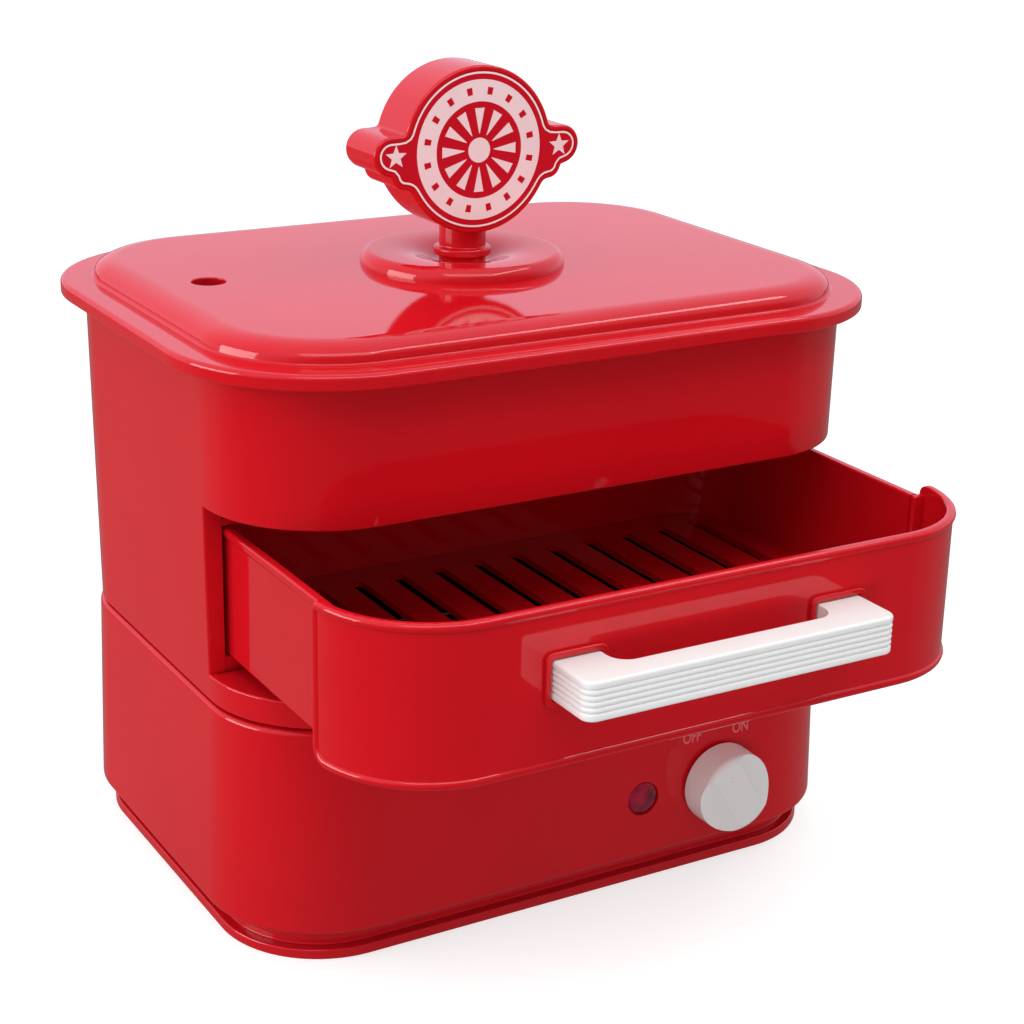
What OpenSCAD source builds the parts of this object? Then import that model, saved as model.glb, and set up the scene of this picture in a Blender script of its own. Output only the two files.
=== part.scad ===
// Countertop steamer: heated water base, lift-off housing, slide-out drawer, bun tray and lid.
// The origin is the centre of the footprint on the standing surface. +X is right, -Y is the front.

/* [Base] */
// Width of the base at its bottom edge
base_w = 228; // [210:1:240]
// Depth of the base at its bottom edge
base_d = 169.6; // [160:0.5:182]
// Corner radius of the base at its bottom edge
base_corner_r = 39.5; // [34:0.5:44]
// How much each side of the base leans in on its way up
base_draft = 2; // [0.5:0.25:3]
// Height of the gap line under the base
base_bottom_z = 10.8; // [10:0.2:13]
// Height of the base's top face
base_top_z = 79.2; // [74:0.2:90]
// Wall thickness of the moulded shells
wall = 2.4; // [2:0.1:3]

/* [Bottom cover] */
// How far the bottom cover stands back from the base's edge
cover_inset = 4; // [3:0.5:6]
// Height of the cover's low rim
cover_rim_h = 3.6; // [3:0.1:6]
// Width of the flat ring that the steamer stands on
standing_ring_w = 8; // [6:0.5:10]
// Diameter of each rubber foot
foot_d = 16; // [12:0.5:20]

/* [Water basin and heater] */
// Depth of the water basin below its flange
basin_depth = 27; // [20:1:30]
// Diameter of the heating plate
plate_d = 92; // [80:1:100]
// Diameter of the heating tube
tube_d = 6.6; // [5.5:0.1:8]

/* [Controls] */
// Height of the knob and lamp centres
control_z = 32; // [28:0.2:40]
// Distance of the knob's centre from the base's right side
knob_edge = 59.6; // [56:0.2:68]
// Distance of the lamp's centre from the base's right side
lamp_edge = 89.5; // [86:0.5:96]
// Knob diameter at its skirt
knob_d = 28; // [24:0.5:32]
// Knob depth from skirt to front
knob_h = 12.6; // [10:0.2:16]
// Diameter of the lamp lens
lens_d = 11; // [9:0.5:13]
// Diameter of the switch shaft
shaft_d = 6; // [5:0.5:6.5]

/* [Housing] */
// How far the housing's top stands in from the base's left and right edges
housing_in_x = 1.5; // [0:0.25:4]
// How far the housing's top stands in from the base's front and back edges
housing_in_y = 0.5; // [0:0.25:3]
// How much each side of the housing leans in on its way down
housing_draft = 1.1; // [0.25:0.25:2]
// Width of the shadow gap between base and housing
seam_gap = 1; // [0.6:0.1:2]
// Height of the housing above its bottom edge
housing_h = 107.5; // [90:0.5:130]

/* [Drawer] */
// How far the drawer is pulled out
drawer_out = 69; // [0:1:110]
// Height of the drawer's front panel
panel_h = 49.4; // [42:0.2:59]
// How far the front panel stands back from the housing's faces
panel_inset = 2.6; // [2:0.2:4]
// Distance from the housing's side to the drawer's side wall
drawer_side_gap = 6.8; // [6.2:0.2:8]
// Thickness of the drawer's walls
drawer_wall = 2.4; // [2:0.1:3]
// How far the drawer's box hangs above the panel's lower edge
box_lift = 4.6; // [4:0.2:6]
// How far the drawer's side walls stand below the panel's top
side_drop = 3; // [2:0.2:5]
// Space between the back of the drawer's box and the housing's back wall
box_back_gap = 9.7; // [9:0.1:20]
// Gap between the front panel's top and the opening's upper edge
header_gap = 4.8; // [2:0.2:6]
// Slots in the drawer's floor
slot_count = 13; // [7:2:17]

/* [Handle] */
// Width of the handle
handle_w = 107; // [90:1:120]
// Height of the handle
handle_h = 12; // [10:0.5:16]
// How far the handle stands out from the panel
handle_out = 19; // [16:0.5:26]
// Thickness of the handle's bar
bar_t = 9.4; // [8:0.2:11]
// Width of each handle foot
handle_foot_w = 15.8; // [13:0.2:18]
// Height of the handle's centre above the panel's lower edge
handle_up = 27.6; // [24:0.2:30]
// Grooves along the handle's front
groove_count = 5; // [3:1:6]

/* [Bun tray] */
// Height of the bun tray's floor above the drawer's opening
tray_gap = 6.6; // [4:0.2:12]
// Thickness of the bun tray
tray_t = 1.6; // [1.2:0.1:2.4]
// Spacing of the steam holes
hole_pitch = 22; // [18:1:30]

/* [Lid] */
// How far the lid's flange stands out past the housing
flange_out = 8.7; // [6:0.1:11]
// Thickness of the lid's flange
flange_h = 4.9; // [4:0.1:6]
// Width of the flat shelf round the raised top
shelf_w = 10.6; // [8:0.2:14]
// Height of the raised top above the flange
plateau_h = 5.9; // [4:0.1:9]
// Diameter of the steam vent
vent_d = 11; // [8:0.5:14]
// Distance of the vent from the raised top's left edge
vent_edge = 23.9; // [18:0.1:40]
// How far the vent stands behind the middle
vent_back = 8.3; // [0:0.1:20]
// Diameter of the round boss under the grip
boss_d = 68; // [56:1:76]
// Height of the boss's ridge
boss_h = 4.4; // [3:0.2:6]

/* [Grip] */
// Radius of the sign-shaped grip's disc
sign_r = 27; // [25:0.5:30]
// Half width of the grip across its arms
sign_half_w = 37.7; // [37:0.1:42]
// Thickness of the grip
sign_t = 21; // [16:0.5:24]
// Height of the grip's lower edge above the lid's top
sign_lift = 11.4; // [9:0.2:14]
// Diameter of the grip's stem
stem_d = 15.6; // [13:0.2:17]

/* [Hidden] */
$fn = 64;

RED = [0.78, 0.09, 0.13];
WHITE = [0.92, 0.92, 0.92];
DARK = [0.16, 0.16, 0.17];
STEEL = [0.75, 0.76, 0.78];
BRASS = [0.8, 0.66, 0.32];
PINK = [0.98, 0.85, 0.86];

clearance = 0.3;
corner_steps = 10;

housing_w = base_w - 2*housing_in_x;
housing_d = base_d - 2*housing_in_y;
housing_corner_r = base_corner_r;
housing_bottom_z = base_top_z + seam_gap;
housing_top_z = housing_bottom_z + housing_h;
base_h = base_top_z - base_bottom_z;
housing_low_w = housing_w - 2*housing_draft;
housing_low_d = housing_d - 2*housing_draft;
housing_low_r = housing_corner_r - housing_draft;
inner_w = housing_low_w - 2*wall;
inner_d = housing_low_d - 2*wall;
inner_r = housing_low_r - wall;

spigot_h = 5;
spigot_w = inner_w - 2*clearance;
spigot_d = inner_d - 2*clearance;
spigot_r = inner_r - clearance;
spigot_t = 2.2;
seat_rib_t = 4;

cover_w = base_w - 2*cover_inset;
cover_d = base_d - 2*cover_inset;
cover_r = base_corner_r - cover_inset;
cover_edge_r = 0.8;
neck_inset = 3.5;
neck_top_z = 17;
cover_floor_z = 1.2;
post_bottom_z = 8;
post_r = 3.4;
post_screw_z = 3.5;
post_screw_l = 14;
basin_corner_gap = 0.5;
screw_r = 1.6;
screw_head_r = 3.2;
screw_head_h = 2;
foot_x = cover_w/2 - 44;
foot_y = cover_d/2 - 20.8;
vent_slot_w = 3;
vent_slot_l = 60;

basin_flange_t = 2;
basin_flange_w = 6;
basin_w = spigot_w - 2*spigot_t - 2*basin_flange_w - 2;
basin_d = spigot_d - 2*spigot_t - 2*basin_flange_w - 2;
basin_r = spigot_r - 1.7;
basin_t = 2.2;
basin_floor_z = base_top_z - basin_depth;
basin_screw_x = 30;
basin_post_h = 8;
basin_post_r = 2.6;
plate_t = 2;
drum_h = 7;
drum_r = plate_d/2 - 8;
seal_t = 1.6;
plate_top_z = basin_floor_z + basin_t + seal_t + plate_t;
tube_ring_r = plate_d/2 - 12;
drum_bottom_z = plate_top_z - plate_t - drum_h;
tube_ring_z = drum_bottom_z - tube_d/2;
bracket_t = 1.5;
bracket_z = tube_ring_z - tube_d/2 - bracket_t;
bracket_l = plate_d + 30;
bracket_w = 26;
bracket_post_r = 4.5;
bracket_screw_x = bracket_l/2 - 7;
thermostat_r = 8;

knob_x = base_w/2 - knob_edge;
lamp_x = base_w/2 - lamp_edge;
knob_gap = 0.8;
knob_spot = 0.8;
lamp_spot = 1.2;
knob_pad_r = 13;
lamp_pad_r = 10;
pad_depth = 4.4;
panel_flat_y = -(half_d_at(control_z) - pad_depth);
knob_back_y = -(half_d_at(control_z) + knob_gap);
knob_front_r = knob_d/2 - 0.2;
knob_edge_r = 2.6;
knob_recess_r = 9;
bushing_r = 4.6;
bushing_clear = 0.05;
nut_flats = 12;
nut_hole_r = 7.6;
nut_t = 2;
switch_w = 22;
switch_h = 20;
switch_t = 14;
lens_r = lens_d/2;
lens_barrel_r = lens_r - 0.9;
lens_dome_h = 1.6;
bush_x = -(base_w/2 - base_corner_r - 4.5);
bush_z = 30;
bush_pad_r = 11;
bush_flange_r = 8.5;
bush_neck_r = 6.2;
cord_bore_r = 3.8;

sill_top_z = housing_bottom_z + 8.6;
jamb_y = -(housing_low_d/2 - housing_low_r - 0.5);
frame_t = 2.4;
sill_deep = 9.5;
header_deep = 6.5;
panel_z = sill_top_z + 0.4;
panel_top_z = panel_z + panel_h;
opening_top_z = panel_top_z + header_gap;
panel_w = housing_low_w - 2*panel_inset;
panel_d = housing_low_d - 2*panel_inset;
panel_r = housing_low_r - panel_inset;
panel_end_y = jamb_y - 0.6;
box_half_w = housing_low_w/2 - drawer_side_gap;
box_bottom_z = panel_z + box_lift;
box_top_z = panel_top_z - side_drop;
box_back_y = inner_d/2 - box_back_gap;
box_l = box_back_y - panel_end_y;
box_back_r = inner_r - 14;
bead = 0.8;
bead_h = 3;
jamb_half_w = box_half_w + bead + 0.5;
panel_end_low_r = 6;
panel_end_top_r = 3.2;
floor_t = 2.2;
rail_gap = 0.3;
rail_in = 7;
rail_t = 2.4;
rail_back_y = inner_d/2 - 6.8;
guide_l = 42;
slot_l = box_l + 2;
slot_w = 5;
slot_edge = 14;
slot_back = 12;

panel_front_y = -panel_d/2 - drawer_out;
handle_z = panel_z + handle_up;
frame_border = 2;
frame_up = 1.4;
groove_d = 0.9;
handle_corner_r = 4;
handle_screw_x = handle_w/2 - handle_foot_w/2;

ledge_top_z = housing_top_z - 8.7;
ledge_t = 2.5;
ledge_w = 6;
top_inner_w = housing_w - 2*wall;
top_inner_d = housing_d - 2*wall;
top_inner_r = housing_corner_r - wall;
tray_rim_w = top_inner_w - 1.6;
tray_rim_d = top_inner_d - 1.6;
tray_rim_r = top_inner_r - 0.8;
tray_w = top_inner_w - 2*ledge_w - 3;
tray_d = top_inner_d - 2*ledge_w - 3;
tray_r = top_inner_r - ledge_w - 1.5;
tray_floor_z = opening_top_z + tray_gap;

flange_w = housing_w + 2*flange_out;
flange_d = housing_d + 2*flange_out;
flange_r = housing_corner_r + flange_out + 3;
flange_top_z = housing_top_z + flange_h;
plateau_w = flange_w - 2*shelf_w;
plateau_d = flange_d - 2*shelf_w;
plateau_r = flange_r - shelf_w;
lid_top_z = flange_top_z + plateau_h;
lid_t = 2.6;
rib_h = 4.6;
rib_t = 2;
plateau_roll = 8.7;
plateau_roll_h = 4.6;
vent_x = plateau_w/2 - vent_edge;
boss_r = boss_d/2;
boss_ridge_r = boss_r - 3.4;
seat_r = 9;
seat_up = 0.25;
stem_r = stem_d/2;
collar_r = stem_r + 1.7;
collar_up = 2.6;
collar_h = 2.9;
pin_r = 5;
pin_low_z = lid_top_z - lid_t;
sign_z = lid_top_z + sign_lift + sign_r;
arm_r = 6.2;
arm_up = -0.1;
shoulder_r = 4.4;
shoulder_up = -6.5;
shoulder_half_w = sign_half_w - 6.7;
sign_fillet_r = 2.5;
face_t = 1.2;
face_border = 1.5;

// Half the base's depth at height z
function half_d_at(z) = base_d/2 - base_draft*(z - base_bottom_z)/base_h;
// Height of the boss's dished top above the lid at radius r
function dish_up(r) = seat_up + (boss_h - seat_up)*pow((r - seat_r)/(boss_ridge_r - seat_r), 2);
// Places of the four screw posts and feet
function corners(x, y) = [for (sx = [-1, 1], sy = [-1, 1]) [sx*x, sy*y]];

// Flat rectangle with round corners, centred on the origin
module rounded_plan(w, d, r) {
    square([w - 2*r, d], center = true);
    square([w, d - 2*r], center = true);
    for (p = corners(w/2 - r, d/2 - r)) translate(p) circle(r);
}

// Straight block with that plan
module rounded_block(w, d, r, z0, z1) {
    translate([0, 0, z0]) linear_extrude(z1 - z0) rounded_plan(w, d, r);
}

// Ring with that plan, t thick inwards
module rounded_ring(w, d, r, t, z0, z1) {
    translate([0, 0, z0]) linear_extrude(z1 - z0) difference() {
        rounded_plan(w, d, r);
        rounded_plan(w - 2*t, d - 2*t, r - t);
    }
}

// Corner points of that plan at height z, anticlockwise
function plan_points(w, d, r, z) = [for (k = [0:3], i = [0:corner_steps])
    let (a = 90*k + 90*i/corner_steps, sx = k == 0 || k == 3 ? 1 : -1, sy = k < 2 ? 1 : -1)
    [sx*(w/2 - r) + r*cos(a), sy*(d/2 - r) + r*sin(a), z]];

// Solid skinned over a stack of such plans
module skin(rings) {
    n = len(rings[0]);
    last = len(rings) - 1;
    sides = [for (i = [0:last - 1], j = [0:n - 1], half = [0, 1])
        let (a = i*n + j, b = i*n + (j + 1)%n)
        half == 0 ? [a, a + n, b + n] : [a, b + n, b]];
    polyhedron([for (ring = rings, p = ring) p],
        concat([[for (j = [0:n - 1]) j]], sides, [[for (j = [0:n - 1]) last*n + n - 1 - j]]));
}

// Drafted block: the plan at z0 grows by grow on each side up to z1, with rounded lower and upper edges.
// The upper rounding is top_r high and reaches top_in inwards.
module drafted_block(w, d, r, z0, z1, grow, low_r, top_r, top_in = 0, step = 22.5) {
    reach = top_in > 0 ? top_in : top_r;
    low = low_r > 0 ? [for (a = [90:-step:0]) [z0 + low_r*(1 - sin(a)), -low_r*(1 - cos(a))]] : [[z0, 0]];
    top = top_r > 0 ? [for (a = [0:step:90]) [z1 - top_r*(1 - sin(a)), -reach*(1 - cos(a))]] : [[z1, 0]];
    skin([for (s = concat(low, top)) let (g = grow*(s[0] - z0)/(z1 - z0) + s[1])
        plan_points(w + 2*g, d + 2*g, r + g, s[0])]);
}

// Cylinder whose axis runs from the front towards the back, starting at y0
module along_y(r, y0, y1, x, z, fn = 64) {
    translate([x, y0, z]) rotate([-90, 0, 0]) cylinder(r = r, h = y1 - y0, $fn = fn);
}

module pan_head_screw(head_r, head_h, thread_r, length) {
    cylinder(r = thread_r, h = length);
    translate([0, 0, -head_h]) cylinder(r1 = head_r*0.75, r2 = head_r, h = head_h*0.5);
    translate([0, 0, -head_h*0.5]) cylinder(r = head_r, h = head_h*0.5);
}

// Places of the four posts that carry the base on the bottom cover, between basin and wall
function post_places() =
    let (reach = (basin_r + basin_corner_gap + post_r)*sqrt(0.5))
    corners(basin_w/2 - basin_r + reach, basin_d/2 - basin_r + reach);

module base_shell() {
    color(RED) difference() {
        union() {
            drafted_block(base_w, base_d, base_corner_r, base_bottom_z, base_top_z, -base_draft, 1.6, 2.4);
            rounded_block(spigot_w, spigot_d, spigot_r, base_top_z - 1, base_top_z + spigot_h);
        }
        difference() {
            drafted_block(base_w - 2*wall, base_d - 2*wall, base_corner_r - wall,
                base_bottom_z - 1, base_top_z - wall, -base_draft, 0, 0);
            for (p = post_places())
                translate([p[0], p[1], post_bottom_z]) cylinder(r = post_r, h = base_top_z - post_bottom_z);
            for (p = corners(basin_screw_x, basin_d/2 + basin_flange_w/2))
                translate([p[0], p[1], base_top_z - wall - basin_post_h])
                    cylinder(r = basin_post_r, h = basin_post_h + 1);
            along_y(knob_pad_r, -base_d/2, panel_flat_y, knob_x, control_z);
            along_y(lamp_pad_r, -base_d/2, panel_flat_y, lamp_x, control_z);
            along_y(bush_pad_r, half_d_at(bush_z) - pad_depth, base_d/2, bush_x, bush_z);
        }
        rounded_block(spigot_w - 2*spigot_t, spigot_d - 2*spigot_t, spigot_r - spigot_t,
            base_top_z, base_top_z + spigot_h + 1);
        rounded_block(basin_w + 1, basin_d + 1, basin_r + 0.5, base_top_z - wall - 1, base_top_z + 1);
        for (p = post_places())
            translate([p[0], p[1], post_bottom_z - 1]) cylinder(r = screw_r + 0.05, h = post_screw_l);
        for (p = corners(basin_screw_x, basin_d/2 + basin_flange_w/2))
            translate([p[0], p[1], base_top_z - wall - basin_post_h - 1])
                cylinder(r = screw_r + 0.05, h = basin_post_h + wall + 2);
        along_y(bushing_r + 0.25, -base_d, panel_flat_y + 1, knob_x, control_z);
        along_y(nut_hole_r, -base_d, spot_y(knob_spot), knob_x, control_z);
        along_y(lens_barrel_r + 0.15, -base_d, panel_flat_y + 1, lamp_x, control_z);
        along_y(lens_r + 0.4, -base_d, spot_y(lamp_spot), lamp_x, control_z);
        along_y(bush_neck_r + 0.15, half_d_at(bush_z) - 6, base_d, bush_x, bush_z);
        along_y(bush_flange_r + 0.4, half_d_at(bush_z) - 0.8, base_d, bush_x, bush_z);
    }
}

// Flat spot sunk by depth into the sloping front at the height of the controls
function spot_y(depth) = -(half_d_at(control_z) - depth);

module bottom_cover() {
    color(RED) difference() {
        union() {
            drafted_block(cover_w, cover_d, cover_r, 0, cover_rim_h, 0, cover_edge_r, cover_edge_r);
            rounded_ring(cover_w - 2*neck_inset, cover_d - 2*neck_inset, cover_r - neck_inset, wall,
                cover_rim_h - 1, neck_top_z);
            for (p = post_places())
                translate([p[0], p[1], cover_rim_h - 1])
                    cylinder(r = screw_head_r + 2, h = post_bottom_z + 1 - cover_rim_h);
        }
        rounded_block(cover_w - 2*standing_ring_w, cover_d - 2*standing_ring_w, cover_r - standing_ring_w,
            -1, cover_floor_z);
        for (p = post_places()) translate([p[0], p[1], -1]) {
            cylinder(r = screw_r + 0.2, h = post_bottom_z + 2);
            cylinder(r = screw_head_r + 0.3, h = post_screw_z + 1);
        }
        for (x = [-36:12:36])
            translate([x - vent_slot_w/2, -vent_slot_l/2, 0]) cube([vent_slot_w, vent_slot_l, cover_rim_h + 1]);
    }
}

module rubber_feet() {
    color(DARK) for (p = corners(foot_x, foot_y)) translate([p[0], p[1], 0])
        rotate_extrude() polygon([[0, 0], [foot_d/2 - 1, 0], [foot_d/2, 1], [foot_d/2, cover_floor_z],
            [0, cover_floor_z]]);
}

module cover_screws() {
    color(STEEL) for (p = post_places()) translate([p[0], p[1], post_screw_z])
        pan_head_screw(screw_head_r, screw_head_h, screw_r, post_screw_l);
}

module water_basin() {
    color(DARK) difference() {
        union() {
            rounded_block(basin_w + 2*basin_flange_w, basin_d + 2*basin_flange_w, basin_r + basin_flange_w,
                base_top_z, base_top_z + basin_flange_t);
            rounded_block(basin_w, basin_d, basin_r, basin_floor_z, base_top_z + 1);
            for (sx = [-1, 1]) translate([sx*bracket_screw_x, 0, bracket_z + bracket_t])
                cylinder(r = bracket_post_r, h = basin_floor_z - bracket_z);
        }
        rounded_block(basin_w - 2*basin_t, basin_d - 2*basin_t, basin_r - basin_t,
            basin_floor_z + basin_t, base_top_z + basin_flange_t + 1);
        translate([0, 0, basin_floor_z - 1]) cylinder(r = drum_r + 0.5, h = basin_t + 2);
        for (sx = [-1, 1]) translate([sx*bracket_screw_x, 0, bracket_z])
            cylinder(r = screw_r + 0.05, h = basin_floor_z - bracket_z - 2);
        for (p = corners(basin_screw_x, basin_d/2 + basin_flange_w/2))
            translate([p[0], p[1], base_top_z - 1]) cylinder(r = screw_r + 0.1, h = basin_flange_t + 2);
    }
}

module basin_screws() {
    color(STEEL) for (p = corners(basin_screw_x, basin_d/2 + basin_flange_w/2))
        translate([p[0], p[1], base_top_z + basin_flange_t]) mirror([0, 0, 1])
            pan_head_screw(2.8, 1.6, screw_r, basin_flange_t + wall + basin_post_h - 2);
}

module heating_plate() {
    color(STEEL) difference() {
        union() {
            translate([0, 0, plate_top_z - plate_t]) rotate_extrude()
                polygon([[0, 0], [plate_d/2, 0], [plate_d/2, plate_t - 0.6], [plate_d/2 - 0.6, plate_t],
                    [0, plate_t]]);
            translate([0, 0, drum_bottom_z]) cylinder(r = drum_r, h = drum_h + 0.5);
        }
        for (r = [14:10:34]) translate([0, 0, plate_top_z - 0.5]) rotate_extrude()
            polygon([[r, 0], [r + 1.6, 0], [r + 2.2, 1], [r - 0.6, 1]]);
    }
}

module plate_seal() {
    color(DARK) translate([0, 0, basin_floor_z + basin_t]) difference() {
        cylinder(r = plate_d/2 - 0.5, h = seal_t);
        translate([0, 0, -1]) cylinder(r = drum_r + 0.3, h = seal_t + 2);
    }
}

// The tube runs round the drum and its two ends turn down in front
module heating_tube() {
    open_half = 26;
    leg = 14;
    color(STEEL) translate([0, 0, tube_ring_z]) {
        rotate([0, 0, -90 + open_half]) rotate_extrude(angle = 360 - 2*open_half)
            translate([tube_ring_r, 0]) circle(tube_d/2);
        for (sx = [-1, 1]) rotate([0, 0, -90 + sx*open_half]) translate([tube_ring_r, 0, 0]) {
            sphere(tube_d/2);
            translate([0, 0, -leg]) cylinder(r = tube_d/2, h = leg);
            translate([0, 0, -leg - 8]) cylinder(r = 1.5, h = 9);
        }
    }
}

module heater_bracket() {
    color(STEEL) translate([0, 0, bracket_z]) difference() {
        translate([-bracket_l/2, -bracket_w/2, 0]) cube([bracket_l, bracket_w, bracket_t]);
        translate([0, 0, -1]) cylinder(r = thermostat_r + 0.6, h = bracket_t + 2);
        for (sx = [-1, 1]) translate([sx*bracket_screw_x, 0, -1]) cylinder(r = screw_r + 0.2, h = bracket_t + 2);
    }
}

module bracket_screws() {
    color(STEEL) for (sx = [-1, 1]) translate([sx*bracket_screw_x, 0, bracket_z])
        pan_head_screw(screw_head_r, screw_head_h, screw_r, 9);
}

module thermostat() {
    flange_z = bracket_z + bracket_t;
    color(STEEL) {
        translate([0, 0, bracket_z - 3]) cylinder(r = thermostat_r, h = drum_bottom_z - bracket_z + 3);
        translate([0, 0, flange_z]) cylinder(r = thermostat_r + 3, h = 1);
        for (sy = [-1, 1]) translate([-3, sy*4 - 0.4, bracket_z - 11]) cube([6, 0.8, 9]);
    }
}

module thermal_fuse() {
    color("tan") along_y(2, -6, 6, 23, bracket_z + bracket_t + 2);
    color(STEEL) along_y(0.5, -11, 11, 23, bracket_z + bracket_t + 2);
}

module rotary_switch() {
    color(DARK) difference() {
        union() {
            translate([knob_x - switch_w/2, panel_flat_y, control_z - switch_h/2])
                cube([switch_w, switch_t, switch_h]);
            along_y(bushing_r, spot_y(knob_spot) - nut_t - 0.6, panel_flat_y + 1, knob_x, control_z);
            for (dz = [-6, 6]) translate([knob_x - 3, panel_flat_y + switch_t - 1, control_z + dz - 0.4])
                cube([6, 8, 0.8]);
        }
        along_y(shaft_d/2 + bushing_clear, -base_d, panel_flat_y + 7, knob_x, control_z);
    }
}

module switch_nut() {
    color(BRASS) difference() {
        along_y(nut_flats/2/cos(30), spot_y(knob_spot) - nut_t, spot_y(knob_spot), knob_x, control_z, 6);
        along_y(bushing_r + 0.05, -base_d, 0, knob_x, control_z);
    }
}

// Round shaft with a flat on the length that the knob grips
module flatted_rod(r, y0, y1, flat_to) {
    difference() {
        along_y(r, y0, y1, knob_x, control_z);
        translate([knob_x - r, y0 - 1, control_z - r - 1]) cube([2*r, flat_to - y0 + 1, 1.8]);
    }
}

module switch_shaft() {
    color(STEEL) flatted_rod(shaft_d/2, knob_back_y - knob_h + 3, panel_flat_y + 6.5, knob_back_y - 1);
}

// Fluted round knob with a grip ridge between two scoops, set to point at the left mark
module knob() {
    scoop_r = 18;
    scoop_depth = 3.6;
    color(WHITE) difference() {
        translate([knob_x, knob_back_y, control_z]) rotate([90, -30, 0]) difference() {
            union() {
                rotate_extrude() polygon(concat(
                    [[0, 0], [knob_d/2, 0], [knob_d/2, 2.5]],
                    [for (a = [0:15:90])
                        [knob_front_r - knob_edge_r*(1 - cos(a)), knob_h - knob_edge_r*(1 - sin(a))]],
                    [[0, knob_h]]));
                translate([0, 8, knob_h - 0.9]) sphere(r = 1.4);
            }
            translate([0, 0, -1]) cylinder(r = knob_recess_r, h = 5);
            for (sx = [-1, 1]) translate([sx*(scoop_r - 2), 0, knob_h - scoop_depth + scoop_r])
                rotate([90, 0, 0]) cylinder(r = scoop_r, h = knob_d + 2, center = true);
        }
        flatted_rod(shaft_d/2 + 0.03, knob_back_y - knob_h + 2.6, knob_back_y + 1, knob_back_y - 1);
    }
}

module lamp_lens() {
    color([0.55, 0.05, 0.14]) translate([lamp_x, spot_y(lamp_spot), control_z]) rotate([90, 0, 0])
        rotate_extrude() polygon(concat(
            [[0, -1], [lens_barrel_r - 0.8, -1], [lens_barrel_r - 0.8, -9], [lens_barrel_r, -9],
                [lens_barrel_r, 0], [lens_r, 0]],
            [for (a = [0:15:90]) [lens_r*cos(a), 0.6 + (lens_dome_h - 0.6)*sin(a)]]));
}

module lamp_body() {
    y = spot_y(lamp_spot);
    color([0.9, 0.88, 0.8]) along_y(lens_barrel_r - 1, y + 1.4, y + 20, lamp_x, control_z);
    color(STEEL) for (dx = [-1.8, 1.8]) along_y(0.4, y + 19, y + 28, lamp_x + dx, control_z);
}

module lamp_clip() {
    color(STEEL) difference() {
        along_y(8.5, panel_flat_y, panel_flat_y + 0.8, lamp_x, control_z);
        along_y(lens_barrel_r + 0.05, panel_flat_y - 1, panel_flat_y + 2, lamp_x, control_z);
    }
}

module terminal_block() {
    pole_pitch = 10;
    color([0.9, 0.9, 0.86]) translate([-(cover_w/2 - 32), 14, cover_rim_h]) difference() {
        cube([3*pole_pitch, 16, 13]);
        for (i = [0:2]) translate([(i + 0.5)*pole_pitch, 8, 6]) {
            rotate([90, 0, 0]) cylinder(r = 2, h = 20, center = true);
            cylinder(r = 2.2, h = 20);
        }
    }
}

// Moulded bush in the rear wall that the mains lead passes through
module cord_bush() {
    spot = half_d_at(bush_z) - 0.8;
    color(DARK) difference() {
        union() {
            along_y(bush_flange_r, spot, spot + 2.4, bush_x, bush_z);
            along_y(bush_neck_r, spot - 6, spot + 1, bush_x, bush_z);
            along_y(bush_neck_r + 1.2, spot - 5.6, spot - 3.8, bush_x, bush_z);
        }
        along_y(cord_bore_r, spot - 8, spot + 4, bush_x, bush_z);
    }
}

// Part of a ring round the housing's plan that lies in front of the jambs
module front_ring(depth, z0, z1) {
    intersection() {
        rounded_ring(housing_low_w + 2, housing_low_d + 2, housing_low_r + 1, depth + 1, z0, z1);
        translate([-housing_w, -housing_d, z0]) cube([2*housing_w, housing_d + jamb_y + frame_t, z1 - z0]);
    }
}

// Everything that stands inside the housing's walls
module housing_inner_parts() {
    rounded_ring(inner_w + 2, inner_d + 2, inner_r + 1, seat_rib_t + 1,
        base_top_z + spigot_h, base_top_z + spigot_h + frame_t);
    front_ring(sill_deep, sill_top_z - frame_t, sill_top_z);
    front_ring(header_deep, opening_top_z, opening_top_z + frame_t);
    rail_z = box_bottom_z - rail_gap;
    for (side = [0, 1]) mirror([side, 0, 0]) {
        translate([jamb_half_w, jamb_y, sill_top_z - 1]) cube([20, frame_t, opening_top_z - sill_top_z + 2]);
        translate([box_half_w - rail_in, jamb_y, rail_z - rail_t]) cube([30, rail_back_y - jamb_y, rail_t]);
        translate([jamb_half_w, jamb_y, rail_z - 1]) cube([20, rail_back_y - jamb_y, 8]);
        translate([box_half_w - rail_in, jamb_y, box_top_z + 2*rail_gap]) cube([30, guide_l, rail_t]);
    }
}

module housing() {
    color(RED) difference() {
        drafted_block(housing_low_w, housing_low_d, housing_low_r, housing_bottom_z, housing_top_z,
            housing_draft, 0, 0.8);
        difference() {
            union() {
                rounded_block(inner_w, inner_d, inner_r, housing_bottom_z - 1, ledge_top_z - ledge_t);
                rounded_block(top_inner_w, top_inner_d, top_inner_r, ledge_top_z, housing_top_z + 1);
                rounded_block(top_inner_w - 2*ledge_w, top_inner_d - 2*ledge_w, top_inner_r - ledge_w,
                    housing_bottom_z, housing_top_z);
            }
            housing_inner_parts();
        }
        translate([-housing_w, -housing_d, sill_top_z])
            cube([2*housing_w, housing_d + jamb_y, opening_top_z - sill_top_z]);
    }
}

// Plan of the front panel: the housing's own corners, drawn in by inset and cut off at the jambs
module panel_plan(inset, cut_y) {
    intersection() {
        rounded_plan(panel_w - 2*inset, panel_d - 2*inset, panel_r - inset);
        translate([-panel_w, -2*panel_d + cut_y]) square([2*panel_w, 2*panel_d]);
    }
}

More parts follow.
